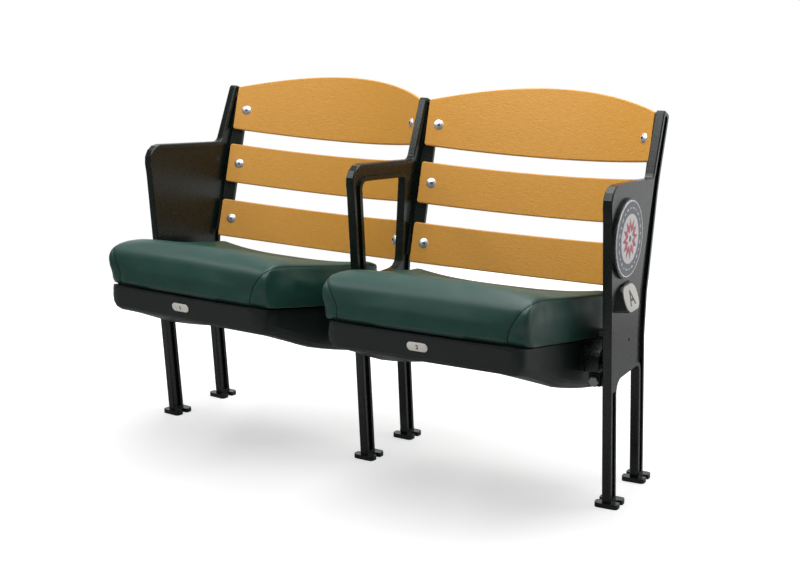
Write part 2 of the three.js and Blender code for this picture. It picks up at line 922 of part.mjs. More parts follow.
// Ring of the pan's section, drawn in by its wall where it is the hollow
function panRing(s, depth, halfWidth, top, valley) {
  const radius = Math.min(panBellyRadius, (depth + top) * panRoundShare);
  const side = [];
  for (let step = 0; step <= panCornerSteps; step += 1) {
    const angle = (Math.PI * step) / (2 * panCornerSteps);
    const x = halfWidth - radius * (1 - Math.cos(angle));
    side.push(new THREE.Vector3(x, s, -depth + radius * (1 - Math.sin(angle))));
  }
  const mirrored = side.map((point) => new THREE.Vector3(-point.x, point.y, point.z)).reverse();
  const between = [];
  for (let step = 1; step < panValleySteps; step += 1) {
    const across = 1 - (2 * step) / panValleySteps;
    const rise = valley * Math.cos((Math.PI * across) / 2) ** 2;
    between.push(new THREE.Vector3(across * (halfWidth - radius), s, -depth + rise));
  }
  return [
    new THREE.Vector3(-halfWidth, s, top),
    new THREE.Vector3(halfWidth, s, top),
    ...side,
    ...between,
    ...mirrored,
  ];
}

function panStations() {
  const inCorner = panFrontShares.map((share) => panFrontRun * share);
  const belly = panBellyShares.map(([share]) => panLength * share);
  return [...inCorner, ...belly];
}

function pan() {
  const outer = panStations().map((s) => {
    return panRing(s, panDepthAt(s), panWidthAt(s), 0, panValleyAt(s));
  });
  const hollow = panStations()
    .slice(2)
    .map((s) => Math.min(s + panWall, panLength - panWall))
    .map((s) => {
      const from = s - panWall;
      return panRing(s, panDepthAt(from) - panWall, panWidthAt(s) - panWall, -panWall, panValleyAt(from));
    });
  const mouth = rounded(
    boxCorners(
      -panHalfWidth + panRimWidth,
      panRimWidth + panWall,
      panHalfWidth - panRimWidth,
      panLength - panRimWidth,
      panCorner - panRimWidth,
    ),
  );
  const opening = extruded(mouth, 2 * overrun).translate(0, 0, -overrun - panWall);
  const across = (s, t, radius) => {
    return solid(rodX(s, t, radius + clearance, -cushionHalfWidth, cushionHalfWidth, domeSides));
  };
  const cuts = [
    solid(loft(hollow)),
    solid(opening),
    across(dowelS, dowelT, dowelRadius),
    across(armBoltS, armBoltT, armBoltRadius),
  ];
  return cuts.reduce((made, cut) => made.subtract(cut), solid(loft(outer)));
}

function board() {
  const half = panHalfWidth - boardInset;
  const outline = rounded(boxCorners(-half, boardInset, half, panLength - boardInset, boardCorner));
  return solid(extruded(outline, boardThickness).translate(0, 0, clearance));
}

// Cushion: side outlines blended from the gusset at each side to the crown in the middle
function cushionRing(x) {
  const width = cushionHalfWidth;
  const fromEdge = width - Math.abs(x);
  const crown = 1 - (Math.abs(x) / width) ** cushionCrownShare;
  const bottom = boardThickness + 2 * clearance;
  const tuck = cushionTuck * Math.max(1 - fromEdge / cushionEdge, 0) ** 2;
  const blended = cushionSideShares.map(([run, rise], index) => {
    const [crownRun, crownRise] = cushionCentreShares[index];
    const y = cushionLength * (run + (crownRun - run) * crown);
    const z = bottom + cushionHeight * (rise + (crownRise - rise) * crown);
    return new THREE.Vector3(x, y, z);
  });
  const curve = new THREE.CatmullRomCurve3(blended, true, "centripetal");
  const points = curve.getPoints(2 * blended.length).slice(0, -1);
  const centreY = cushionLength / 2;
  const centreZ = bottom + (cushionHeight * gussetShare) / 2;
  return points.map((point) => {
    const y = point.y - tuck * Math.max(Math.min((point.y - centreY) / centreY, 1), -1);
    const z = point.z - tuck * Math.max(Math.min((point.z - centreZ) / cushionHeight, 1), -1);
    return new THREE.Vector3(x, y, Math.max(z, bottom));
  });
}

function cushion() {
  const stations = [];
  for (let step = 0; step <= cushionSteps; step += 1) {
    stations.push(-1 + (2 * step) / cushionSteps);
  }
  const inner = cushionHalfWidth - cushionEdge;
  const places = [
    -cushionHalfWidth,
    -cushionHalfWidth + cushionEdge / 3,
    ...stations.map((share) => share * inner),
    cushionHalfWidth - cushionEdge / 3,
    cushionHalfWidth,
  ];
  return solid(loft(places.map((x) => cushionRing(x).reverse())));
}

function numberPlate() {
  const half = numberPlateLength / 2;
  const tall = numberPlateHeight / 2;
  const outline = rounded(boxCorners(-half, -tall, half, tall, numberPlateRadius));
  const lean = Math.atan2(panFrontRun, panFrontDrop - panLip);
  const plate = alongY(outline, -clearance - numberPlateThickness, -clearance);
  const middle = panFrontRun * numberPlateDownShare;
  const place = new THREE.Matrix4().makeTranslation(numberPlateX, middle, -panDepthAt(middle));
  return solid(plate.applyMatrix4(place.multiply(new THREE.Matrix4().makeRotationX(lean))));
}

// Hinge pieces, in the seat's own frame; side is -1 for the pivot on the left of the seat
function hingeX(side, q) {
  return side * (standardPitch / 2 - q);
}

function hingeArm(side) {
  const at = (q) => hingeX(side, q);
  const rest = lugTop + saddleTop + stopGap;
  const stopFace = lugRear + saddleRear + clearance;
  const tailIn = turnedAboutPivot(stopFace, lugTop + saddleTop, tipUp);
  const tailOut = turnedAboutPivot(stopFace, lugTop - lugHeight, tipUp);
  const body = rounded([
    corner(armFront, rest, armCorner),
    corner(tailIn.x - armCorner * 2, rest, pocketRadius),
    corner(tailIn.x, tailIn.y, 0),
    corner(tailOut.x, tailOut.y, pocketRadius),
    corner(tailOut.x + tailTopRun, tailOut.y + tailRise, armCorner),
    corner(pivotY + armEyeRadius, pivotZ + armCorner, armCorner),
    corner(pivotY - armEyeRadius, pivotZ + armCorner, armCorner),
    corner(armFront, rest + lugHeight * 2, armNoseRadius),
  ]);
  const eye = rodX(pivotY, pivotZ, armEyeRadius, at(armFace), at(armBodyEnd + armPlateEase));
  const web = alongX(body, at(armFace), at(armBodyEnd + armPlateEase));
  const plateCorners = [
    onSeatPlane(armPlateFront, -armPlateDeep),
    onSeatPlane(armPlateRear, -armPlateDeep),
    onSeatPlane(armPlateRear, -armPlateTop),
    onSeatPlane(armPlateFront, -armPlateTop),
  ].map(({ x, y }) => corner(x, y, armPlateRadius));
  const plate = alongX(rounded(plateCorners), at(armBodyEnd), at(armPlateEnd));
  const dowelPlace = onSeatPlane(dowelS, dowelT);
  const dowelEnd = at(armPlateEnd + dowelReach);
  const dowel = rodX(dowelPlace.x, dowelPlace.y, dowelRadius, at(armBodyEnd), dowelEnd, domeSides);
  const bore = rodX(
    pivotY,
    pivotZ,
    pinRadius + clearance + bushWall + clearance,
    at(armFace - overrun),
    at(armFace + armBoreDepth),
  );
  const boltPlace = onSeatPlane(armBoltS, armBoltT);
  const boltHole = rodX(
    boltPlace.x,
    boltPlace.y,
    armBoltRadius + clearance,
    at(armBodyEnd - overrun),
    at(armPlateEnd + overrun),
    domeSides,
  );
  const counterbore = rodX(
    boltPlace.x,
    boltPlace.y,
    armBoltHead + clearance,
    at(armFace - overrun),
    at(armBodyEnd),
    domeSides,
  );
  const cuts = [bore, boltHole, counterbore];
  const made = solid(web).add(solid(eye)).add(solid(plate)).add(solid(dowel));
  return cuts.reduce((left, cut) => left.subtract(solid(cut)), made);
}

function pivotPin(side) {
  const end = armFace + armBoreDepth - 2 * clearance;
  return solid(rodX(pivotY, pivotZ, pinRadius, hingeX(side, pinRoot + clearance), hingeX(side, end)));
}

// A flanged bush pressed in the arm, turning on the pin
function pivotBush(side) {
  const at = (q) => hingeX(side, q);
  const flangeFace = armFace - clearance - washerThickness;
  const end = armFace + armBoreDepth - 2 * clearance;
  const sleeveRadius = pinRadius + clearance + bushWall;
  const sleeve = solid(rodX(pivotY, pivotZ, sleeveRadius, at(armFace - clearance), at(end)));
  const flange = solid(rodX(pivotY, pivotZ, washerRadius, at(flangeFace), at(armFace - clearance)));
  const bore = rodX(pivotY, pivotZ, pinRadius + clearance, at(flangeFace - overrun), at(end + overrun));
  return sleeve.add(flange).subtract(solid(bore));
}

function stopBumper(side) {
  const lugFront = lugRear - lugDepth;
  const lugLow = lugTop - lugHeight;
  const outer = rounded(
    boxCorners(lugFront - saddleFront, lugLow, lugRear + saddleRear, lugTop + saddleTop, lugRadius),
  );
  const inner = rounded(
    boxCorners(lugFront - clearance, lugLow - overrun, lugRear + clearance, lugTop + clearance, lugRadius),
  );
  const start = hingeX(side, saddleStart);
  const end = hingeX(side, lugReach);
  const block = solid(alongX(outer, start, end));
  const slot = solid(alongX(inner, hingeX(side, saddleStart - overrun), hingeX(side, lugReach + overrun)));
  const hole = rodY(stopBoltRadius + clearance, lugFront - saddleFront - overrun, lugFront + overrun);
  const boltZ = lugTop - stopBoltDrop;
  return block.subtract(slot).subtract(solid(hole.translate(hingeX(side, stopBoltQ), 0, boltZ)));
}

function stopBolt(side) {
  const lugFront = lugRear - lugDepth;
  const seat = lugFront - saddleFront - clearance;
  const hexRadius = stopBoltFlat / Math.cos(Math.PI / 6);
  const head = solid(rodY(hexRadius, seat - stopBoltHead, seat, 6));
  const shank = solid(rodY(stopBoltRadius, seat - clearance, lugRear));
  const place = new THREE.Matrix4().makeTranslation(hingeX(side, stopBoltQ), 0, lugTop - stopBoltDrop);
  return moved(head.add(shank), place);
}

function armBolt(side) {
  const place = onSeatPlane(armBoltS, armBoltT);
  const at = (q) => hingeX(side, q);
  const headEnd = armBodyEnd - clearance;
  const tip = armPlateEnd + armBoltReach;
  const rod = (radius, from, to) => rodX(place.x, place.y, radius, at(from), at(to), domeSides);
  const head = rod(armBoltHead, headEnd - armBoltHeadHeight, headEnd);
  const shank = rod(armBoltRadius, headEnd - clearance, tip);
  return solid(head).add(solid(shank));
}

// A frame inside a seat, as a group that its pieces go into
function framed(matrix) {
  const group = new THREE.Group();
  matrix.decompose(group.position, group.quaternion, group.scale);
  return group;
}

const sideNames = [
  ["left", -1],
  ["right", 1],
];

function seatBack(name) {
  const back = framed(backFrame());
  Object.entries(slatBoltRows).forEach(([row, along]) => {
    back.add(piece(`${name}_${row}_slat`, slat(row), slatPlastic));
    sideNames.forEach(([sideName, side]) => {
      const bolt = piece(`${name}_${row}_slat_bolt_${sideName}`, slatBolt(), steel);
      slatBoltPlace(side, along).decompose(bolt.position, bolt.quaternion, bolt.scale);
      back.add(bolt);
    });
  });
  return back;
}

function seatPan(name) {
  const seat = framed(seatFrame());
  seat.add(piece(`${name}_pan`, pan(), panPlastic));
  seat.add(piece(`${name}_cushion_board`, board(), plywood));
  seat.add(piece(`${name}_cushion`, cushion(), vinyl));
  seat.add(piece(`${name}_number_plate`, numberPlate(), plateMetal));
  return seat;
}

function seatHinges(name) {
  const hinges = new THREE.Group();
  sideNames.forEach(([sideName, side]) => {
    hinges.add(piece(`${name}_hinge_arm_${sideName}`, hingeArm(side), castIron));
    hinges.add(piece(`${name}_arm_bolt_${sideName}`, armBolt(side), steel));
    hinges.add(piece(`${name}_pivot_bush_${sideName}`, pivotBush(side), nylon));
    hinges.add(piece(`${name}_pivot_pin_${sideName}`, pivotPin(side), steel));
    hinges.add(piece(`${name}_stop_bumper_${sideName}`, stopBumper(side), rubber));
    hinges.add(piece(`${name}_stop_bolt_${sideName}`, stopBolt(side), steel));
  });
  return hinges;
}

function seatUnit(name, step) {
  const unit = rowPlace(step);
  unit.add(seatBack(name), seatPan(name), seatHinges(name));
  return unit;
}

function standardUnit(step, ...pieces) {
  const unit = rowPlace(step);
  unit.add(...pieces);
  return unit;
}

const row = new THREE.Group();
row.position.y = -(rearLegFoot + legDepth / 2);
row.add(
  standardUnit(-2, piece("left_standard", standardBody({ open: false, seatSides: [1] }), castIron)),
  standardUnit(0, piece("middle_standard", standardBody({ open: true, seatSides: [-1, 1] }), castIron)),
  standardUnit(
    2,
    piece("right_standard", aisleStandardBody(), castIron),
    piece("medallion_plate", medallion(), plateMetal),
    piece("aisle_light_housing", lightHousing(), castIron),
    piece("aisle_light_lens", solid(lensBox(0, 0)), lensPlastic),
    piece("row_letter_plate", letterPlate(), plateMetal),
  ),
  seatUnit("seat_1", -1),
  seatUnit("seat_2", 1),
);

const stadiumSeats = new THREE.Group();
stadiumSeats.add(row);

export default stadiumSeats;
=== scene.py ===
"""Two stadium seats in a row: dressed model, plain studio and the photograph's camera."""

import json
import math

import bmesh
import bpy
from mathutils import Matrix, Vector
from mathutils.bvhtree import BVHTree
from mathutils.kdtree import KDTree

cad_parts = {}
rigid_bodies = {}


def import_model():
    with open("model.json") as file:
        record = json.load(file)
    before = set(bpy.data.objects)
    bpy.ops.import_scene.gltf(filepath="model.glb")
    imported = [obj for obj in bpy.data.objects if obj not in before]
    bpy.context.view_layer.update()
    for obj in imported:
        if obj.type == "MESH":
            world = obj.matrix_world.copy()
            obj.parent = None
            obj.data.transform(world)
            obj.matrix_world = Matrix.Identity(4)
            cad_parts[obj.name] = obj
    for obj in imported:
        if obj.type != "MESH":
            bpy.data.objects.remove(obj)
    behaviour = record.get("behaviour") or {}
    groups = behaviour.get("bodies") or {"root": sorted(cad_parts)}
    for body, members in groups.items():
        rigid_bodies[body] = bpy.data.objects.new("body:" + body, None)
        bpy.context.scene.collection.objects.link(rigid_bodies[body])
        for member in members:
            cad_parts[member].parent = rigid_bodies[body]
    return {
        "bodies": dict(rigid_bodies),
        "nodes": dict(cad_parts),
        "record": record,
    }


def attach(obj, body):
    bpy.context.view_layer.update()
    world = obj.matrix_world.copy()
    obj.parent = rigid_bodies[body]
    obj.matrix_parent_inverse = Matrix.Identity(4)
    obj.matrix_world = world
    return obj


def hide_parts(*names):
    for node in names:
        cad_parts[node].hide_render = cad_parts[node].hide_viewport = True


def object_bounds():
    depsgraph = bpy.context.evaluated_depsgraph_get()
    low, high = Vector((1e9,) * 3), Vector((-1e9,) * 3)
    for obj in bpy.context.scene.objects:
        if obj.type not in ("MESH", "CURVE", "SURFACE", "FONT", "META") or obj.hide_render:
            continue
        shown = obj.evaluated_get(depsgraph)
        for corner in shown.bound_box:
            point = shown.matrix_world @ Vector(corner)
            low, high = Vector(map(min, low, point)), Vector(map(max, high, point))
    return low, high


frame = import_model()
cad_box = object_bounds()
scene = bpy.context.scene

MM = 0.001

# Places of the row, in metres and radians: even steps are standards, odd ones seats
STANDARD_PITCH = 559 * MM
HALF_STEP = math.radians(1.92)
ROW_SHIFT = 17.5 * MM
STANDARD_HALF = 9.5 * MM
SEAT_SLOPE = math.radians(10.4)
BACK_RECLINE = math.radians(15.4)
SEATS = {"seat_1": -1, "seat_2": 1}


def row_place(step):
    """From the frame of a standard or seat to the row."""
    out = STANDARD_PITCH * abs(step) / 2
    sign = (step > 0) - (step < 0)
    at = (sign * out * math.cos(HALF_STEP), out * math.sin(HALF_STEP) + ROW_SHIFT, 0)
    return Matrix.Translation(at) @ Matrix.Rotation(HALF_STEP * step, 4, "Z")


def seat_plane(step):
    """x across, y back and z up from the top of the pan's rim, at its front edge."""
    at = Matrix.Translation((0, -453 * MM, 384.6 * MM))
    return row_place(step) @ at @ Matrix.Rotation(-SEAT_SLOPE, 4, "X")


def back_plane(step):
    """x across, y rearward and z along the recline, from the line of the lowest bolts."""
    at = Matrix.Translation((0, -11 * MM, 457 * MM))
    return row_place(step) @ at @ Matrix.Rotation(-BACK_RECLINE, 4, "X")


# Materials
def colour(code):
    """An sRGB hex colour as Blender's linear one."""
    parts = [int(code[at : at + 2], 16) / 255 for at in (1, 3, 5)]
    linear = [p / 12.92 if p <= 0.04045 else ((p + 0.055) / 1.055) ** 2.4 for p in parts]
    return (*linear, 1)


def add_node(tree, kind, settings=None, inputs=None):
    """One node, with its settings, and its inputs set or linked."""
    node = tree.nodes.new(kind)
    for name, value in (settings or {}).items():
        setattr(node, name, value)
    for name, value in (inputs or {}).items():
        if isinstance(value, bpy.types.NodeSocket):
            tree.links.new(value, node.inputs[name])
        else:
            node.inputs[name].default_value = value
    return node


def new_finish(name, **values):
    """A material with its shader's own sockets set, and the object's coordinates."""
    material = bpy.data.materials.new(name)
    material.use_nodes = True
    tree = material.node_tree
    shader = tree.nodes["Principled BSDF"]
    for socket, value in values.items():
        shader.inputs[socket.replace("_", " ")].default_value = value
    place = add_node(tree, "ShaderNodeTexCoord").outputs["Object"]
    return material, tree, shader, place


def grain(tree, place, size, detail=2, stretch=(1, 1, 1), twist=0):
    """Noise whose blotches are about size metres across, stretched along the axes."""
    scale = [1 / (size * s) for s in stretch]
    mapped = add_node(tree, "ShaderNodeMapping", {}, {"Vector": place, "Scale": scale})
    inputs = {"Vector": mapped.outputs[0], "Scale": 1, "Detail": detail, "Distortion": twist}
    return add_node(tree, "ShaderNodeTexNoise", {}, inputs).outputs["Fac"]


def tint(tree, shader, fac, dark, light, low=0.3, high=0.7):
    """Colours the surface between two tones by a pattern."""
    inputs = {"Value": fac, "From Min": low, "From Max": high}
    even = add_node(tree, "ShaderNodeMapRange", {}, inputs).outputs[0]
    inputs = {0: even, 6: colour(dark), 7: colour(light)}
    mixed = add_node(tree, "ShaderNodeMix", {"data_type": "RGBA"}, inputs)
    tree.links.new(mixed.outputs[2], shader.inputs["Base Color"])


def spread(tree, shader, fac, smooth, rough):
    """Roughness between two values by a pattern."""
    inputs = {"Value": fac, "From Min": 0.3, "From Max": 0.7, "To Min": smooth, "To Max": rough}
    ranged = add_node(tree, "ShaderNodeMapRange", {}, inputs)
    tree.links.new(ranged.outputs[0], shader.inputs["Roughness"])


def bump(tree, shader, *layers):
    """Raises the surface by patterns, each with its height in metres and its strength."""
    normal = None
    for height, depth, strength in layers:
        inputs = {"Height": height, "Distance": depth, "Strength": strength}
        if normal:
            inputs["Normal"] = normal
        normal = add_node(tree, "ShaderNodeBump", {}, inputs).outputs["Normal"]
    tree.links.new(normal, shader.inputs["Normal"])


def cast_enamel():
    """Black-green gloss enamel sprayed on sand-cast iron. The sand's skin shows through the paint,
    so highlights break up along edges and on the nose of each arm."""
    finish, tree, shader, place = new_finish("cast_iron_enamel", IOR=1.5, Specular_IOR_Level=0.42)
    pits = grain(tree, place, 2.2 * MM, 3)
    waves = grain(tree, place, 9 * MM, 2)
    tint(tree, shader, waves, "#08120E", "#0F1915")
    spread(tree, shader, pits, 0.2, 0.36)
    bump(tree, shader, (waves, 0.5 * MM, 0.3), (pits, 0.25 * MM, 0.35))
    return finish


def embossed_slat():
    """Honey-coloured moulded plastic with a fine embossed ripple that runs along the slat, drawn
    about 10 mm by 3 mm, a little coarser than the real one, so that it shows."""
    finish, tree, shader, place = new_finish("moulded_slat_plastic", IOR=1.49)
    ripple = grain(tree, place, 3.4 * MM, 1, (3, 3, 1), 1.2)
    cloud = grain(tree, place, 60 * MM, 2, (3, 3, 1))
    # Tone tied to the ripple, a shade darker in its valleys: painted shade in the embossing
    tint(tree, shader, ripple, "#D2953A", "#D89C42")
    spread(tree, shader, cloud, 0.42, 0.54)
    bump(tree, shader, (ripple, 0.7 * MM, 0.6))
    return finish


def upholstery_vinyl():
    """Dark green expanded vinyl with a leather grain. The grain is about 2 mm, drawn at twice its
    real size, and gives the cushions a soft sheen with a broken edge."""
    finish, tree, shader, place = new_finish("upholstery_vinyl", IOR=1.5, Specular_IOR_Level=0.45)
    inputs = {"Vector": place, "Scale": 1 / (2.2 * MM), "Randomness": 0.9}
    settings = {"feature": "SMOOTH_F1"}
    cells = add_node(tree, "ShaderNodeTexVoronoi", settings, inputs).outputs["Distance"]
    cloud = grain(tree, place, 45 * MM, 2)
    tint(tree, shader, cloud, "#193E36", "#1D443C")
    spread(tree, shader, cloud, 0.38, 0.46)
    bump(tree, shader, (cells, 0.2 * MM, 0.25))
    return finish


def moulded_pan():
    """Black-green polypropylene, injection moulded with a fine spark texture and a satin shine."""
    values = {"IOR": 1.49, "Specular_IOR_Level": 0.36}
    finish, tree, shader, place = new_finish("moulded_polypropylene", **values)
    spark = grain(tree, place, 1.6 * MM, 2)
    cloud = grain(tree, place, 70 * MM, 2)
    tint(tree, shader, cloud, "#0C1713", "#131F1A")
    spread(tree, shader, cloud, 0.4, 0.5)
    bump(tree, shader, (spark, 0.12 * MM, 0.3))
    return finish


def painted_seam_shade():
    """The fold of vinyl in a seam, painted near black as the seam's shade, so it reads as a thin dark
    line.
    """
    finish, tree, shader, place = new_finish("vinyl_welt_painted_shade", IOR=1.5, Specular_IOR_Level=0.2)
    crease = grain(tree, place, 2 * MM, 2)
    tint(tree, shader, crease, "#081310", "#0D1B17")
    spread(tree, shader, crease, 0.6, 0.75)
    bump(tree, shader, (crease, 0.1 * MM, 0.3))
    return finish


def plywood_stain_and_gap_shade():
    """Birch plywood stained black, with faint layers; its edge also paints the shade of the gap under
    the cushion.
    """
    finish, tree, shader, place = new_finish("plywood_stain_and_gap_shade", IOR=1.45)
    layers = grain(tree, place, 1.2 * MM, 2, (30, 30, 1))
    tint(tree, shader, layers, "#0B0907", "#17130F")
    spread(tree, shader, layers, 0.65, 0.85)
    bump(tree, shader, (layers, 0.1 * MM, 0.4))
    return finish


def plated_steel(name, dark, light, roughness):
    """Zinc on cold-headed steel, with faint scuffs and a cloudy shine."""
    finish, tree, shader, place = new_finish(name, Metallic=1.0)
    scuffs = grain(tree, place, 1.2 * MM, 3, (1, 1, 4))
    tint(tree, shader, scuffs, dark, light)
    spread(tree, shader, scuffs, roughness, roughness + 0.14)
    bump(tree, shader, (scuffs, 0.04 * MM, 0.2))
    return finish


def painted_shade_in_socket():
    """Near black and matt: painted shade in the socket of a screw."""
    finish, tree, shader, place = new_finish("socket_painted_shade", IOR=1.5)
    shade_mottle = grain(tree, place, 0.8 * MM, 2)
    tint(tree, shader, shade_mottle, "#171614", "#24221F")
    spread(tree, shader, shade_mottle, 0.7, 0.85)
    bump(tree, shader, (shade_mottle, 0.04 * MM, 0.3))
    return finish


def nylon_bush():
    """Natural nylon, turned, with fine rings that hold a little grease."""
    finish, tree, shader, place = new_finish("turned_nylon", IOR=1.53, Subsurface_Weight=0.05)
    rings = grain(tree, place, 1 * MM, 2)
    tint(tree, shader, rings, "#C9C5B8", "#DBD8CC")
    spread(tree, shader, rings, 0.4, 0.55)
    bump(tree, shader, (rings, 0.05 * MM, 0.3))
    return finish


def bumper_rubber():
    """Black moulded rubber, dull, with a dusty bloom."""
    finish, tree, shader, place = new_finish("moulded_rubber", IOR=1.52)
    bloom = grain(tree, place, 4 * MM, 3)
    tint(tree, shader, bloom, "#131313", "#222221")
    spread(tree, shader, bloom, 0.7, 0.9)
    bump(tree, shader, (bloom, 0.1 * MM, 0.3))
    return finish


def painted_plate(name, dark, light, roughness=0.34):
    """Stove enamel screened on a thin aluminium plate: even, slightly glossy, a little flecked."""
    finish, tree, shader, place = new_finish(name, IOR=1.5)
    fleck = grain(tree, place, 1.4 * MM, 2)
    tint(tree, shader, fleck, dark, light)
    spread(tree, shader, fleck, roughness - 0.05, roughness + 0.06)
    bump(tree, shader, (fleck, 0.04 * MM, 0.25))
    return finish


def frosted_lens():
    """Frosted polycarbonate: pale, a little see-through, prismed along its length."""
    values = {"IOR": 1.58, "Transmission_Weight": 0.35}
    finish, tree, shader, place = new_finish("frosted_polycarbonate", **values)
    frost = grain(tree, place, 1 * MM, 2, (1, 6, 1))
    tint(tree, shader, frost, "#CDD5D2", "#E2E8E5")
    spread(tree, shader, frost, 0.3, 0.5)
    bump(tree, shader, (frost, 0.1 * MM, 0.4))
    return finish


enamel = cast_enamel()
slat_plastic = embossed_slat()
vinyl = upholstery_vinyl()
# Painted shade for the welts in the cushions' seams
welt_shade = painted_seam_shade()
pan_plastic = moulded_pan()
# Board stained black; its edge is also painted shade for the gap under the cushion
plywood = plywood_stain_and_gap_shade()
steel = plated_steel("bright_zinc_steel", "#E6E9EE", "#F4F6FA", 0.34)
dull_steel = plated_steel("dull_zinc_steel", "#868A88", "#9A9E9D", 0.42)
# Painted shade for the sockets of the slat bolts
socket_shade = painted_shade_in_socket()
nylon = nylon_bush()
rubber = bumper_rubber()
plate_enamel = painted_plate("pale_plate_enamel", "#E9E6DB", "#F5F3EB")
black_ink = painted_plate("black_plate_ink", "#161616", "#202020")
white_enamel = painted_plate("white_medallion_enamel", "#F4F4F6", "#FCFCFD")
slate_enamel = painted_plate("slate_medallion_enamel", "#3B3F52", "#474B5E", 0.28)
red_enamel = painted_plate("red_medallion_enamel", "#C23048", "#CF4056")
lens_plastic = frosted_lens()

# Finishes of the pieces that keep the shape of their CAD node, by its material slot
SLOT_FINISHES = {
    "cast_frame": enamel,
    "pan_plastic": pan_plastic,
    "board_wood": plywood,
    "bright_steel": steel,
    "bush_plastic": nylon,
    "bumper_rubber": rubber,
    "lens": lens_plastic,
}

# Points closer than this become one, and faces of a CAD node flatter than this angle are joined
MERGE = 0.001 * MM
CAD_MERGE = 0.005 * MM
FLAT_ANGLE = math.radians(0.6)

body_of = {empty: name for name, empty in frame["bodies"].items()}
slot_of = {part["node"]: part["material_slot"] for part in frame["record"]["subparts"]}


def smooth_by_angle(bm, limit):
    """Smooth shading, with edges sharper than limit degrees left sharp."""
    for face in bm.faces:
        face.smooth = True
    for edge in bm.edges:
        edge.smooth = edge.calc_face_angle(0) < math.radians(limit)


def finished(name, bm, material, body, slot, replaces=(), limit=38):
    """Turns a bmesh, already in its place, into a piece that rides on a body."""
    bmesh.ops.recalc_face_normals(bm, faces=bm.faces)
    smooth_by_angle(bm, limit)
    mesh = bpy.data.meshes.new(name)
    bm.to_mesh(mesh)
    bm.free()
    mesh.materials.append(material)
    piece = bpy.data.objects.new(name, mesh)
    scene.collection.objects.link(piece)
    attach(piece, body)
    if replaces:
        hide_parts(*replaces)
    return piece


def rounded_edges(piece, width, limit=24):
    """Rounds the edges sharper than limit degrees, and keeps large flat faces evenly shaded."""
    bevel = piece.modifiers.new("rounded_edges", "BEVEL")
    bevel.width = width
    bevel.segments = 2
    bevel.limit_method = "ANGLE"
    bevel.angle_limit = math.radians(limit)
    bevel.miter_outer = "MITER_ARC"
    shading = piece.modifiers.new("even_shading", "WEIGHTED_NORMAL")
    shading.weight = 90
    shading.keep_sharp = True


def dressed(node, width):
    """A merged copy with rounded edges, which stands for a CAD node whose shape is right."""
    source = frame["nodes"][node]
    bm = bmesh.new()
    bm.from_mesh(source.data)
    bmesh.ops.remove_doubles(bm, verts=bm.verts, dist=CAD_MERGE)
    bmesh.ops.dissolve_limit(bm, angle_limit=FLAT_ANGLE, verts=bm.verts, edges=bm.edges)
    slot = slot_of[node]
    body = body_of[source.parent]
    finish = dull_steel if "stop_bolt" in node or "arm_bolt" in node else SLOT_FINISHES[slot]
    piece = finished(f"{node}_finish", bm, finish, body, slot, [node])
    rounded_edges(piece, width)


# Radius of the edges of each kind of part
EDGE_WIDTHS = {
    "standard": 0.9 * MM,
    "pan": 0.7 * MM,
    "cushion_board": 0.5 * MM,
    "hinge_arm": 0.9 * MM,
    "aisle_light_housing": 0.9 * MM,
    "aisle_light_lens": 0.3 * MM,
    "stop_bumper": 0.7 * MM,
    "stop_bolt": 0.5 * MM,
    "arm_bolt": 0.4 * MM,
    "pivot_bush": 0.25 * MM,
    "pivot_pin": 0.4 * MM,
}
for node in frame["nodes"]:
    kind = node.removesuffix("_left").removesuffix("_right")
    for ending, width in EDGE_WIDTHS.items():
        if kind.endswith(ending):
            dressed(node, width)
            break


# Slat bolts: domed heads with a round socket painted near black as shade, and the small pin of a
# security screw
DOME_RADIUS = 11 * MM
DOME_HEIGHT = 4 * MM
LIP_DROP = 0.25 * MM
SOCKET_RADIUS = 3.1 * MM
SOCKET_DEPTH = 3 * MM
PIN_RADIUS = 0.8 * MM
PIN_TOP = 1 * MM
SHANK_RADIUS = 4 * MM
SHANK_LENGTH = 28 * MM
CLEARANCE = 0.3 * MM
SLAT_RADIUS = 455 * MM
SLAT_BOLT_X = 241 * MM
SLAT_BOLT_ROWS = {"bottom": 0, "middle": 135 * MM, "top": 266 * MM}


def turned(profile, sides):
    """Turns a profile of radius and height, with both ends on the axis, round Z."""
    bm = bmesh.new()
    verts = [bm.verts.new((radius, 0, height)) for radius, height in profile]
    edges = [bm.edges.new(pair) for pair in zip(verts, verts[1:])]
    geom = verts + edges
    bmesh.ops.spin(bm, geom=geom, axis=(0, 0, 1), angle=2 * math.pi, steps=sides, use_merge=True)
    bmesh.ops.remove_doubles(bm, verts=bm.verts, dist=MERGE)
    return bm


def dome_profile(radius, height, steps):
    """Points of a shallow dome from near its crown to its rim, height 0 at the rim."""
    sphere = (radius**2 + height**2) / (2 * height)
    spread_angle = math.asin(radius / sphere)
    angles = [spread_angle * step / steps for step in range(steps + 1)]
    return [(sphere * math.sin(a), sphere * math.cos(a) - sphere + height) for a in angles]


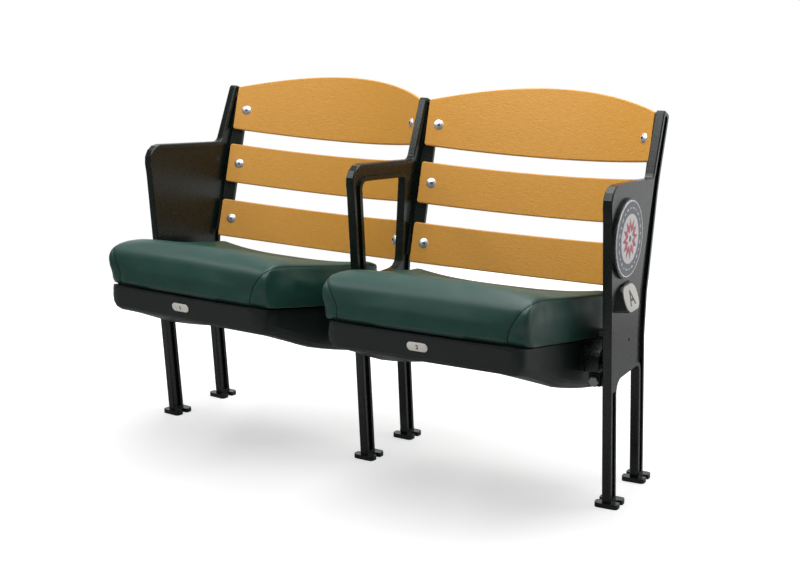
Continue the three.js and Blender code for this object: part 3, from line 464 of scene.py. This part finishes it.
def slat_bolt(seat, row, side_name, side):
    """One slat bolt, square to the bent slat; the floor and wall of its socket are painted shade."""
    crown = dome_profile(DOME_RADIUS, DOME_HEIGHT, 8)
    lip = [point for point in crown if point[0] > SOCKET_RADIUS * 1.1]
    floor = DOME_HEIGHT - SOCKET_DEPTH
    profile = [
        (0, floor + PIN_TOP),
        (PIN_RADIUS, floor + PIN_TOP),
        (PIN_RADIUS, floor),
        (SOCKET_RADIUS, floor),
        (SOCKET_RADIUS, DOME_HEIGHT - LIP_DROP),
        *lip,
        (SHANK_RADIUS, 0),
        (SHANK_RADIUS, -SHANK_LENGTH),
        (0, -SHANK_LENGTH),
    ]
    bm = turned(profile, 32)
    # Faces of the socket's floor and wall take the second finish, the painted shade
    for face in bm.faces:
        middle = face.calc_center_median()
        if middle.z > 0 and PIN_RADIUS < middle.xy.length < SOCKET_RADIUS:
            face.material_index = 1
    turn = math.asin(SLAT_BOLT_X / SLAT_RADIUS)
    at = Matrix.Translation((side * SLAT_BOLT_X, DOME_HEIGHT, SLAT_BOLT_ROWS[row]))
    head = Matrix.Translation((0, -CLEARANCE, 0)) @ Matrix.Rotation(math.pi / 2, 4, "X")
    bm.transform(back_plane(SEATS[seat]) @ at @ Matrix.Rotation(-side * turn, 4, "Z") @ head)
    node = f"{seat}_{row}_slat_bolt_{side_name}"
    bolt = finished(f"{node}_finish", bm, steel, "root", "bright_steel", [node], 35)
    # Second finish: the painted shade in the socket
    bolt.data.materials.append(socket_shade)


for seat in SEATS:
    for row in SLAT_BOLT_ROWS:
        slat_bolt(seat, row, "left", -1)
        slat_bolt(seat, row, "right", 1)


# Slats, bent round one cylinder, with rounded edges and tight corners. The heads of the bolts
# cover their holes, so they have none here
SLAT_HALF = 263 * MM
SLAT_THICKNESS = 13 * MM
SLAT_EDGE = 3 * MM
SLAT_CORNER = 3 * MM
SLAT_SOFT_EDGE = 1.2 * MM
SLAT_SPANS = {
    "bottom": (-45 * MM, 45 * MM),
    "middle": (88 * MM, 181 * MM),
    "top": (217 * MM, 320 * MM),
}
TOP_SLAT_RISE = 51 * MM
ARCH_RADIUS = (SLAT_HALF**2 + TOP_SLAT_RISE**2) / (2 * TOP_SLAT_RISE)


def slat_ring(row, x):
    """Outline of a slat across its length at x, in the frame of the back."""
    low, high = SLAT_SPANS[row]
    if row == "top":
        high += TOP_SLAT_RISE - ARCH_RADIUS + math.sqrt(ARCH_RADIUS**2 - x**2)
    past = max(SLAT_CORNER - (SLAT_HALF - abs(x)), 0)
    drawn = SLAT_CORNER - math.sqrt(SLAT_CORNER**2 - past**2)
    corners = [
        (SLAT_THICKNESS - SLAT_EDGE, high - drawn - SLAT_EDGE, 0),
        (SLAT_EDGE, high - drawn - SLAT_EDGE, 90),
        (SLAT_EDGE, low + drawn + SLAT_EDGE, 180),
        (SLAT_THICKNESS - SLAT_EDGE, low + drawn + SLAT_EDGE, 270),
    ]
    at_bolts = math.sqrt(SLAT_RADIUS**2 - SLAT_BOLT_X**2)
    ring = []
    for depth, along, start in corners:
        for step in range(5):
            angle = math.radians(start + 22.5 * step)
            back = depth + SLAT_EDGE * math.cos(angle)
            y = math.sqrt((SLAT_RADIUS + back) ** 2 - x**2) - at_bolts
            ring.append((x, DOME_HEIGHT + y, along + SLAT_EDGE * math.sin(angle)))
    return ring


def slat(seat, row):
    """One slat, lofted through rings that stand closer together at its ends."""
    corner = [SLAT_CORNER * (1 - math.cos(math.radians(18 * step))) for step in range(6)]
    straight = SLAT_HALF - SLAT_CORNER
    half = [SLAT_HALF - reach for reach in corner]
    half += [straight * (1 - step / 30) for step in range(1, 30)]
    bm = bmesh.new()
    last = None
    for x in half + [0] + [-x for x in reversed(half)]:
        verts = [bm.verts.new(point) for point in slat_ring(row, x)]
        edges = [bm.edges.new(pair) for pair in zip(verts, verts[1:] + verts[:1])]
        if last:
            bmesh.ops.bridge_loops(bm, edges=last + edges)
        if abs(x) == SLAT_HALF:
            bm.faces.new(verts)
        last = edges
    bm.transform(back_plane(SEATS[seat]))
    name = f"{seat}_{row}_slat"
    piece = finished(f"{name}_finish", bm, slat_plastic, "root", "slat_plastic", [name], 40)
    rounded_edges(piece, SLAT_SOFT_EDGE, 40)


for seat in SEATS:
    for row in SLAT_SPANS:
        slat(seat, row)


# Number plates
def raised(bm, height):
    """Gives flat faces on z = 0 a height."""
    result = bmesh.ops.extrude_face_region(bm, geom=bm.faces[:])
    top = [item for item in result["geom"] if isinstance(item, bmesh.types.BMVert)]
    bmesh.ops.translate(bm, vec=(0, 0, height), verts=top)


def rounded_plate(half_width, half_height, radius, thickness, edge):
    """A flat plate with rounded corners, its back on z = 0, with a soft front edge."""
    bm = bmesh.new()
    bmesh.ops.create_grid(bm, x_segments=1, y_segments=1, size=1)
    bmesh.ops.scale(bm, vec=(half_width, half_height, 1), verts=bm.verts)
    shape = {"offset_type": "OFFSET", "profile": 0.5, "material": -1}
    corners = bm.verts[:]
    bmesh.ops.bevel(bm, geom=corners, offset=radius, segments=10, affect="VERTICES", **shape)
    raised(bm, thickness)
    front = [e for e in bm.edges if all(v.co.z > thickness / 2 for v in e.verts)]
    rim = [e for e in front if e.calc_face_angle(0) > 0.5]
    bmesh.ops.bevel(bm, geom=rim, offset=edge, segments=2, affect="EDGES", **shape)
    return bm


def letters(text, height, thickness, boldness):
    """Plain letters as a mesh, centred, with their height along Y and their back on z = 0."""
    curve = bpy.data.curves.new("letters", "FONT")
    curve.body = text
    curve.extrude = thickness / 2
    curve.resolution_u = 4
    curve.offset = boldness
    holder = bpy.data.objects.new("letters", curve)
    scene.collection.objects.link(holder)
    graph = bpy.context.evaluated_depsgraph_get()
    mesh = bpy.data.meshes.new_from_object(holder.evaluated_get(graph))
    bpy.data.objects.remove(holder)
    bm = bmesh.new()
    bm.from_mesh(mesh)
    bpy.data.meshes.remove(mesh)
    low = Vector([min(v.co[k] for v in bm.verts) for k in range(3)])
    high = Vector([max(v.co[k] for v in bm.verts) for k in range(3)])
    middle = (low + high) / 2
    bmesh.ops.translate(bm, vec=(-middle.x, -middle.y, -low.z), verts=bm.verts)
    size = height / (high.y - low.y)
    bmesh.ops.scale(bm, vec=(size, size, 1), verts=bm.verts)
    bmesh.ops.remove_doubles(bm, verts=bm.verts, dist=MERGE)
    return bm


PLATE_X = -6 * MM
PAN_FRONT_RUN = 15 * MM
PAN_LIP = 4 * MM
PAN_FRONT_DROP = 46 * MM
PLATE_DOWN_SHARE = 0.48
PLATE_HALF_WIDTH = 22.5 * MM
PLATE_HALF_HEIGHT = 9 * MM
PLATE_END_RADIUS = 8.6 * MM
PLATE_THICKNESS = 1.2 * MM
PLATE_EDGE = 0.3 * MM
DIGIT_HEIGHT = 9 * MM
PRINT_THICKNESS = 0.15 * MM
RIVET_X = 17.5 * MM
RIVET_RADIUS = 1.8 * MM
RIVET_HEIGHT = 0.7 * MM


def number_plate(seat, number):
    """A round-ended plate, its two rivets, and its number."""
    lean = math.atan2(PAN_FRONT_RUN, PAN_FRONT_DROP - PAN_LIP)
    drop = PAN_LIP + (PAN_FRONT_DROP - PAN_LIP) * PLATE_DOWN_SHARE
    middle = Matrix.Translation((PLATE_X, PAN_FRONT_RUN * PLATE_DOWN_SHARE, -drop))
    face = Matrix.Rotation(lean, 4, "X") @ Matrix.Rotation(math.pi / 2, 4, "X")
    place = seat_plane(SEATS[seat]) @ middle @ face @ Matrix.Translation((0, 0, CLEARANCE))
    size = (PLATE_HALF_WIDTH, PLATE_HALF_HEIGHT, PLATE_END_RADIUS)
    bm = rounded_plate(*size, PLATE_THICKNESS, PLATE_EDGE)
    bm.transform(place)
    node = f"{seat}_number_plate"
    finished(f"{node}_finish", bm, plate_enamel, seat, "printed_plate", [node])
    top = Matrix.Translation((0, 0, PLATE_THICKNESS))
    digit = letters(number, DIGIT_HEIGHT, PRINT_THICKNESS, 0.03)
    digit.transform(place @ top)
    finished(f"{seat}_plate_number", digit, black_ink, seat, "printed_plate")
    for side_name, side in (("left", -1), ("right", 1)):
        rivet = turned([*dome_profile(RIVET_RADIUS, RIVET_HEIGHT, 4), (0, 0)], 16)
        rivet.transform(place @ top @ Matrix.Translation((side * RIVET_X, 0, 0)))
        finished(f"{seat}_plate_rivet_{side_name}", rivet, steel, seat, "bright_steel")


for seat, number in (("seat_1", "1"), ("seat_2", "2")):
    number_plate(seat, number)

# Aisle side: row letter on the sloping face of the light, and medallion
AISLE_Y = -155 * MM
LIGHT_FACE_AT = (STANDARD_HALF + 14 * MM, AISLE_Y, 429 * MM)
LIGHT_FACE_SLOPE = math.radians(-18)
LIGHT_FACE = Matrix.Translation(LIGHT_FACE_AT) @ Matrix.Rotation(LIGHT_FACE_SLOPE, 4, "Y")
# A plate's own x runs rearward on the aisle side, its y up and its z outward
AISLE_SIDE = Matrix(((0, 0, 1, 0), (1, 0, 0, 0), (0, 1, 0, 0), (0, 0, 0, 1)))
LETTER_PLATE_HALF_WIDTH = 36 * MM
LETTER_PLATE_HALF_HEIGHT = 26 * MM
LETTER_PLATE_RADIUS = 21 * MM
LETTER_PLATE_THICKNESS = 1.5 * MM
LETTER_PLATE_SUNK = 0.5 * MM
LETTER_PLATE_EDGE = 0.5 * MM
LETTER_HEIGHT = 31 * MM


def row_letter():
    """The plate with the letter of the row, set a little into the light's face."""
    place = row_place(2) @ LIGHT_FACE @ AISLE_SIDE
    size = (LETTER_PLATE_HALF_WIDTH, LETTER_PLATE_HALF_HEIGHT, LETTER_PLATE_RADIUS)
    bm = rounded_plate(*size, LETTER_PLATE_THICKNESS, LETTER_PLATE_EDGE)
    bm.transform(place @ Matrix.Translation((0, 0, -LETTER_PLATE_SUNK)))
    node = "row_letter_plate"
    finished(f"{node}_finish", bm, plate_enamel, "root", "printed_plate", [node])
    letter = letters("A", LETTER_HEIGHT, PRINT_THICKNESS, 0.015)
    letter.transform(place @ Matrix.Translation((0, 0, LETTER_PLATE_THICKNESS - LETTER_PLATE_SUNK)))
    finished("row_letter", letter, black_ink, "root", "printed_plate")


row_letter()

MEDALLION_RADIUS = 75.5 * MM
MEDALLION_THICKNESS = 1.6 * MM
MEDALLION_EDGE = 0.4 * MM
MEDALLION_AT = (STANDARD_HALF + 6 * MM + CLEARANCE, AISLE_Y, 546 * MM)
MEDALLION_PLACE = row_place(2) @ Matrix.Translation(MEDALLION_AT) @ AISLE_SIDE
MEDALLION_LAYER = 0.12 * MM
DIAMONDS = 24
DIAMOND_CIRCLE = 60.5 * MM


def disc(radius, thickness):
    """A flat disc with its back on z = 0."""
    bm = bmesh.new()
    middle = Matrix.Translation((0, 0, thickness / 2))
    size = {"radius1": radius, "radius2": radius, "depth": thickness}
    bmesh.ops.create_cone(bm, cap_ends=True, segments=96, matrix=middle, **size)
    return bm


def star(points, outer, inner, thickness):
    """A flat star with its back on z = 0."""
    bm = bmesh.new()
    bmesh.ops.create_circle(bm, cap_ends=True, segments=2 * points, radius=outer)
    for index, vert in enumerate(bm.verts):
        if index % 2:
            vert.co *= inner / outer
    raised(bm, thickness)
    return bm


def diamonds():
    """A circle of small flat diamonds, long and short by turns, that point outward."""
    marks = bmesh.new()
    for index in range(DIAMONDS):
        turn = Matrix.Rotation(math.tau * index / DIAMONDS, 4, "Z")
        reach = 6.5 * MM if index % 2 else 3.5 * MM
        mark = star(2, reach, 2.2 * MM, MEDALLION_LAYER)
        mark.transform(turn @ Matrix.Translation((DIAMOND_CIRCLE, 0, 0)))
        holder = bpy.data.meshes.new("mark")
        mark.to_mesh(holder)
        mark.free()
        marks.from_mesh(holder)
        bpy.data.meshes.remove(holder)
    return marks


def medallion():
    """A plain rosette in the photograph's colours: a pale rim, a slate ring with a circle of small
    diamonds, and a red sunburst on a pale field."""
    profile = [
        (0, MEDALLION_THICKNESS),
        (MEDALLION_RADIUS - MEDALLION_EDGE, MEDALLION_THICKNESS),
        (MEDALLION_RADIUS, MEDALLION_THICKNESS - MEDALLION_EDGE),
        (MEDALLION_RADIUS, 0),
        (0, 0),
    ]
    bm = turned(profile, 96)
    bm.transform(MEDALLION_PLACE)
    node = "medallion_plate"
    finished(f"{node}_finish", bm, white_enamel, "root", "printed_plate", [node])
    thin = MEDALLION_LAYER
    # Name, shape, how many layers up it lies, and finish
    layers = [
        ("slate_ring", disc(72.5 * MM, thin), 0, slate_enamel),
        ("pale_field", disc(49 * MM, thin), 1, white_enamel),
        ("slate_boss", disc(6 * MM, thin), 4, slate_enamel),
        ("sunburst", star(12, 42 * MM, 25 * MM, thin), 2, red_enamel),
        ("pale_star", star(8, 24 * MM, 12 * MM, thin), 3, white_enamel),
        ("diamonds", diamonds(), 1, white_enamel),
    ]
    for name, bm, layer, material in layers:
        rise = Matrix.Translation((0, 0, MEDALLION_THICKNESS + MEDALLION_LAYER * layer))
        bm.transform(MEDALLION_PLACE @ rise)
        finished(f"medallion_{name}", bm, material, "root", "printed_plate")


medallion()

# Cushions, with corners rounded over those of the pan
CUSHION_HALF = 228 * MM
CUSHION_LENGTH = 410 * MM
CUSHION_HEIGHT = 113 * MM
CUSHION_BOTTOM = 3.6 * MM
CORNER_BELOW = 36 * MM
CORNER_ABOVE = 13 * MM
CORNER_BLEND = 40 * MM
# Outlines at the sides and in the middle, from the front of the bottom up and round: run back and
# rise, as shares of the length and height
SIDE_OUTLINE = [
    (0.06, 0), (0.014, 0.2), (-0.014, 0.41), (-0.01, 0.6), (0.04, 0.745), (0.15, 0.81),
    (0.25, 0.83), (0.4, 0.835), (0.6, 0.84), (0.8, 0.845), (0.965, 0.815), (1, 0.45),
    (0.985, 0), (0.5, 0),
]
CENTRE_OUTLINE = [
    (0.03, 0), (-0.004, 0.2), (-0.014, 0.43), (-0.004, 0.66), (0.06, 0.855), (0.14, 0.905),
    (0.24, 0.87), (0.38, 0.785), (0.57, 0.72), (0.78, 0.69), (0.965, 0.69), (1, 0.38),
    (0.985, 0), (0.5, 0),
]
# Seam between the top and each side panel, down the front and the back: x, back and up on the
# seat plane, in mm
SEAM_POINTS = [
    (184, -2, 2), (184.5, -6, 20), (188, -7, 36), (195, -6, 50), (202.5, -3, 63),
    (212.5, 4, 78), (220, 14, 86), (227, 36, 91), (228, 90, 93), (228, 160, 93),
    (228, 240, 93), (228, 320, 93), (226, 376, 92), (226, 399, 78), (225, 408, 48),
    (224, 408, 22), (220, 404, 6),
]


def smooth_run(points, per_span, closed):
    """A smooth curve through points, as a list of places along it."""
    count = len(points)
    spans = count if closed else count - 1
    run = []
    for span in range(spans):
        near = [span - 1, span, span + 1, span + 2]
        if closed:
            p0, p1, p2, p3 = (points[k % count] for k in near)
        else:
            p0, p1, p2, p3 = (points[min(max(k, 0), count - 1)] for k in near)
        for step in range(per_span):
            u = step / per_span
            slope = 2 * p0 - 5 * p1 + 4 * p2 - p3
            bend = 3 * p1 - p0 - 3 * p2 + p3
            run.append(0.5 * (2 * p1 + (p2 - p0) * u + slope * u**2 + bend * u**3))
    if not closed:
        run.append(points[-1])
    return run


def cushion_ring(x):
    """Outline of the cushion at x. Its front stays full almost to its ends, and its crown falls
    sooner."""
    edge = abs(x) / CUSHION_HALF
    crown = 1 - edge**3
    full = 1 - edge**5
    points = []
    for (run, rise), (crown_run, crown_rise) in zip(SIDE_OUTLINE, CENTRE_OUTLINE):
        y = CUSHION_LENGTH * (run + (crown_run - run) * full)
        z = CUSHION_BOTTOM + CUSHION_HEIGHT * (rise + (crown_rise - rise) * crown)
        points.append(Vector((x, y, z)))
    return smooth_run(points, 5, True)


def eased(value):
    """A share from 0 to 1 that starts and ends gently."""
    value = min(max(value, 0), 1)
    return value * value * (3 - 2 * value)


def round_corner(point):
    """Draws in the corners of the cushion, seen from above: well in at the board, fuller above."""
    above = eased((point.z - CUSHION_BOTTOM) / CORNER_BLEND)
    radius = CORNER_BELOW + (CORNER_ABOVE - CORNER_BELOW) * above
    front = radius - point.y
    back = point.y - (CUSHION_LENGTH - radius)
    out = abs(point.x) - (CUSHION_HALF - radius)
    along = max(front, back)
    if out <= 0 or along <= 0:
        return point
    keep = max(out, along) / math.hypot(out, along)
    x = CUSHION_HALF - radius + out * keep
    y = radius - front * keep if front > back else CUSHION_LENGTH - radius + back * keep
    return Vector((math.copysign(x, point.x), y, point.z))


def cushion_blank():
    """The cushion before it is stuffed, in the frame of the seat plane."""
    bm = bmesh.new()
    stations = 56
    last = None
    for index in range(stations + 1):
        share = math.sin(math.pi * (index / stations - 0.5))
        verts = [bm.verts.new(round_corner(point)) for point in cushion_ring(CUSHION_HALF * share)]
        edges = [bm.edges.new(pair) for pair in zip(verts, verts[1:] + verts[:1])]
        if last:
            bmesh.ops.bridge_loops(bm, edges=last + edges)
        if index in (0, stations):
            bm.faces.new(verts)
        last = edges
    bmesh.ops.recalc_face_normals(bm, faces=bm.faces)
    return bm


def applied(piece):
    """The mesh of an object with its modifiers applied."""
    graph = bpy.context.evaluated_depsgraph_get()
    graph.update()
    return bpy.data.meshes.new_from_object(piece.evaluated_get(graph))


def seam_line(side):
    """One seam, as places along a smooth curve."""
    points = [Vector((side * x, y, z)) * MM for x, y, z in SEAM_POINTS]
    return smooth_run(points, 8, False)


CELL = 5 * MM
FLAT_BELOW = CUSHION_BOTTOM + 3.5 * MM
SMOOTH_ABOVE = CUSHION_BOTTOM + 4 * MM
HELD_BELOW = CUSHION_BOTTOM + 5 * MM
DRAWN_IN = 1.5 * MM
STUFFING_FRAMES = 20
MOST_SHIFT = 4 * MM


def softened(mesh, rounds, shrink):
    """Rounds the edges of an even mesh, and draws it in along its normals."""
    bm = bmesh.new()
    bm.from_mesh(mesh)
    above = [vert for vert in bm.verts if vert.co.z > SMOOTH_ABOVE]
    axes = {"use_axis_x": True, "use_axis_y": True, "use_axis_z": True}
    for _ in range(rounds):
        bmesh.ops.smooth_vert(bm, verts=above, factor=0.5, **axes)
    bm.normal_update()
    for vert in bm.verts:
        vert.co -= vert.normal * shrink
    bm.to_mesh(mesh)
    bm.free()


def even_cover():
    """The blank in even cells, with its edges rounded and its bottom flat."""
    bm = cushion_blank()
    mesh = bpy.data.meshes.new("cushion_blank")
    bm.to_mesh(mesh)
    bm.free()
    blank = bpy.data.objects.new("cushion_blank", mesh)
    scene.collection.objects.link(blank)
    remesh = blank.modifiers.new("even_cells", "REMESH")
    remesh.mode = "VOXEL"
    remesh.voxel_size = CELL
    cover_mesh = applied(blank)
    bpy.data.objects.remove(blank)
    softened(cover_mesh, 4, DRAWN_IN)
    for vert in cover_mesh.vertices:
        if vert.co.z < FLAT_BELOW:
            vert.co.z = CUSHION_BOTTOM
    return cover_mesh


def evened(shifts, mesh):
    """Caps the shifts of a mesh's points, and averages each with its neighbours' against wrinkles."""
    for shift in shifts:
        shift *= min(1, MOST_SHIFT / max(shift.length, MM))
    for _ in range(5):
        sums = [shift.copy() for shift in shifts]
        counts = [1] * len(shifts)
        for edge in mesh.edges:
            for end, other in (edge.vertices, reversed(edge.vertices)):
                sums[end] += shifts[other]
                counts[end] += 1
        shifts = [total / count for total, count in zip(sums, counts)]
    return shifts


def stuff(cover):
    """Blows the cover up over its foam by a short cloth simulation, held along its board."""
    start = [vert.co.copy() for vert in cover.data.vertices]
    held = cover.vertex_groups.new(name="held")
    held.add([k for k, at in enumerate(start) if at.z < HELD_BELOW], 1, "REPLACE")
    cloth = cover.modifiers.new("stuffing", "CLOTH")
    cloth.settings.quality = 5
    cloth.settings.mass = 0.3
    cloth.settings.tension_stiffness = 30
    cloth.settings.compression_stiffness = 30
    cloth.settings.bending_stiffness = 2
    cloth.settings.use_pressure = True
    cloth.settings.uniform_pressure_force = 4
    cloth.settings.vertex_group_mass = "held"
    cloth.settings.effector_weights.gravity = 0
    cloth.point_cache.frame_start = 1
    cloth.point_cache.frame_end = STUFFING_FRAMES
    for number in range(1, STUFFING_FRAMES + 1):
        scene.frame_set(number)
    simulated = applied(cover)
    shifts = [moved.co - at for at, moved in zip(start, simulated.vertices)]
    for vert, at, shift in zip(cover.data.vertices, start, evened(shifts, cover.data)):
        vert.co = at + shift
    cover.modifiers.remove(cloth)
    bpy.data.meshes.remove(simulated)
    scene.frame_set(1)


def stuffed_cushion():
    """The cover in the frame of the seat plane, stuffed."""
    cover_mesh = even_cover()
    cover = bpy.data.objects.new("cushion_cover", cover_mesh)
    scene.collection.objects.link(cover)
    stuff(cover)
    softened(cover_mesh, 2, 0)
    finer = cover.modifiers.new("finer", "SUBSURF")
    finer.levels = 1
    finer.render_levels = 1
    fine_mesh = applied(cover)
    bpy.data.objects.remove(cover)
    bpy.data.meshes.remove(cover_mesh)
    return fine_mesh


# Depth and width of the dents round a seam, and how far they reach
SEAM_DENTS = ((0.8 * MM, 9 * MM), (1 * MM, 3 * MM))
SEAM_REACH = 22 * MM
WELT_RADIUS = 0.8 * MM
WELT_DEPTH = 1.7 * MM


def sewn(mesh):
    """Draws the cover in along its seams, and gives the seams' places on it."""
    corners = [vert.co for vert in mesh.vertices]
    surface = BVHTree.FromPolygons(corners, [face.vertices for face in mesh.polygons])
    lines = []
    for side in (-1, 1):
        lines.append([surface.find_nearest(point)[:2] for point in seam_line(side)])
    places = [at for line in lines for at, _ in line]
    tree = KDTree(len(places))
    for index, at in enumerate(places):
        tree.insert(at, index)
    tree.balance()
    for vert in mesh.vertices:
        near = tree.find(vert.co)[2]
        if near < SEAM_REACH:
            dents = [depth * math.exp(-((near / width) ** 2)) for depth, width in SEAM_DENTS]
            vert.co -= vert.normal * sum(dents)
    return lines


def welt(line):
    """The doubled edge of vinyl in a seam, as a thin cord that follows it."""
    curve = bpy.data.curves.new("welt", "CURVE")
    curve.dimensions = "3D"
    curve.bevel_depth = WELT_RADIUS
    curve.bevel_resolution = 2
    curve.use_fill_caps = True
    spline = curve.splines.new("POLY")
    spline.points.add(len(line) - 1)
    for point, (at, normal) in zip(spline.points, line):
        point.co = (*(at - normal * WELT_DEPTH), 1)
    holder = bpy.data.objects.new("welt", curve)
    scene.collection.objects.link(holder)
    mesh = applied(holder)
    bpy.data.objects.remove(holder)
    bm = bmesh.new()
    bm.from_mesh(mesh)
    bpy.data.meshes.remove(mesh)
    return bm


cover_mesh = stuffed_cushion()
seam_lines = sewn(cover_mesh)
for seat, step in SEATS.items():
    # The second cushion is the first mirrored, and sits a little fuller and further to its left
    mirrored = Matrix.Translation((-3 * MM, 0, 0)) @ Matrix.Diagonal((-1.015, 1, 1, 1))
    turn = seat_plane(step) @ (mirrored if seat == "seat_2" else Matrix.Identity(4))
    bm = bmesh.new()
    bm.from_mesh(cover_mesh)
    bm.transform(turn)
    name = f"{seat}_cushion_cover"
    cushion = finished(name, bm, vinyl, seat, "vinyl", [f"{seat}_cushion"], limit=180)
    for side_name, line in zip(("left", "right"), seam_lines):
        cord = welt(line)
        cord.transform(turn)
        # Each welt is painted near black as the seam's shade
        finished(f"{seat}_cushion_welt_{side_name}", cord, welt_shade, seat, "vinyl", limit=180)

# Studio: pale floor with the shadow, soft lamps, camera
FLOOR_RADIUS = 1.75
FLOOR_DROP = 0.2 * MM


def studio_floor():
    """Matt grey sweep that holds the soft shadow. Its own light lifts it to the photograph's white
    for the camera alone, so that it doesn't wash out the dark paint from below."""
    finish, tree, shader, place = new_finish("studio_sweep", Roughness=0.9)
    cloud = grain(tree, place, 400 * MM, 2)
    tint(tree, shader, cloud, "#C3C3C3", "#C7C7C7")
    # The lift grows with the distance from the row, on ellipses that are long along it
    inputs = {0: place, 1: (0.65, 1, 0), 2: (0, 0.25, 0)}
    settings = {"operation": "MULTIPLY_ADD"}
    stretched = add_node(tree, "ShaderNodeVectorMath", settings, inputs).outputs[0]
    settings = {"operation": "LENGTH"}
    away = add_node(tree, "ShaderNodeVectorMath", settings, {0: stretched}).outputs["Value"]
    inputs = {"Value": away, "From Min": 0.2, "From Max": 0.85, "To Min": 0.54, "To Max": 1}
    settings = {"interpolation_type": "SMOOTHSTEP"}
    level = add_node(tree, "ShaderNodeMapRange", settings, inputs).outputs[0]
    rays = add_node(tree, "ShaderNodeLightPath").outputs["Is Camera Ray"]
    lift = add_node(tree, "ShaderNodeMath", {"operation": "MULTIPLY"}, {0: rays, 1: level})
    shader.inputs["Emission Color"].default_value = (1, 1, 1, 1)
    tree.links.new(lift.outputs[0], shader.inputs["Emission Strength"])
    bm = bmesh.new()
    bmesh.ops.create_circle(bm, cap_ends=True, segments=64, radius=FLOOR_RADIUS)
    mesh = bpy.data.meshes.new("studio_floor")
    bm.to_mesh(mesh)
    bm.free()
    mesh.materials.append(finish)
    floor = bpy.data.objects.new("studio_floor", mesh)
    scene.collection.objects.link(floor)
    floor.location.z = cad_box[0].z - FLOOR_DROP


def lamp(name, at, aim, width, height, power):
    """A soft rectangular lamp that the camera doesn't see."""
    light = bpy.data.lights.new(name, "AREA")
    light.shape = "RECTANGLE"
    light.size = width
    light.size_y = height
    light.energy = power
    holder = bpy.data.objects.new(name, light)
    scene.collection.objects.link(holder)
    holder.location = at
    holder.rotation_euler = (Vector(aim) - Vector(at)).to_track_quat("-Z", "Y").to_euler()
    holder.visible_camera = False
    return holder


studio_floor()
lamp("overhead_softbox", (0.25, -0.35, 1.75), (0, -0.3, 0.4), 2.0, 1.1, 26.5)
lamp("rear_softbox", (-0.4, 1.0, 2.5), (0, -0.3, 0.2), 1.8, 1.0, 18).visible_glossy = False
lamp("front_softbox", (-1.1, -3.0, 2.3), (0, 0, 0.45), 1.4, 1.0, 3)
lamp("front_strip", (-1.2, -1.0, 2.0), (0, -0.35, 0.6), 1.5, 0.22, 9)
lamp("aisle_softbox", (2.8, 1.6, 1.4), (0.5, -0.2, 0.4), 1.4, 1.4, 14)


def studio_surround():
    """White to the camera. Shiny surfaces see it white behind the seats and dark behind the camera,
    as in a studio with one white wall, and it lights the rest softly."""
    world = bpy.data.worlds.new("studio_surround")
    scene.world = world
    world.use_nodes = True
    tree = world.node_tree
    tree.nodes.clear()
    rays = add_node(tree, "ShaderNodeLightPath").outputs
    heading = add_node(tree, "ShaderNodeTexCoord").outputs["Generated"]
    parts = add_node(tree, "ShaderNodeSeparateXYZ", {}, {"Vector": heading}).outputs
    inputs = {"Value": parts["Y"], "From Min": -0.3, "From Max": 0.6, "To Min": 0.2, "To Max": 1}
    settings = {"interpolation_type": "SMOOTHSTEP"}
    behind = add_node(tree, "ShaderNodeMapRange", settings, inputs).outputs[0]
    inputs = {0: rays["Is Glossy Ray"], 1: rays["Is Transmission Ray"]}
    shiny = add_node(tree, "ShaderNodeMath", {"operation": "MAXIMUM"}, inputs).outputs[0]
    level = add_node(tree, "ShaderNodeMix", {}, {0: shiny, 2: 0.22, 3: behind}).outputs[0]
    inputs = {0: rays["Is Camera Ray"], 2: level, 3: 1}
    level = add_node(tree, "ShaderNodeMix", {}, inputs).outputs[0]
    inputs = {"Color": (1, 1, 1, 1), "Strength": level}
    light = add_node(tree, "ShaderNodeBackground", {}, inputs).outputs[0]
    add_node(tree, "ShaderNodeOutputWorld", {}, {"Surface": light})


studio_surround()

# Camera, from the photograph's lines: it looks down on the row from its aisle end
CAMERA_AT = (1665.1 * MM, -2661.1 * MM, 1112.8 * MM)
CAMERA_TURN = (math.radians(76.2356), math.radians(0.3987), math.radians(32.2006))
CAMERA_LENS = 64.461
camera = bpy.data.cameras.new("photo_camera")
camera.lens = CAMERA_LENS
camera.sensor_width = 36
holder = bpy.data.objects.new("photo_camera", camera)
scene.collection.objects.link(holder)
holder.location = CAMERA_AT
holder.rotation_euler = CAMERA_TURN
scene.camera = holder
scene.view_settings.view_transform = "Standard"
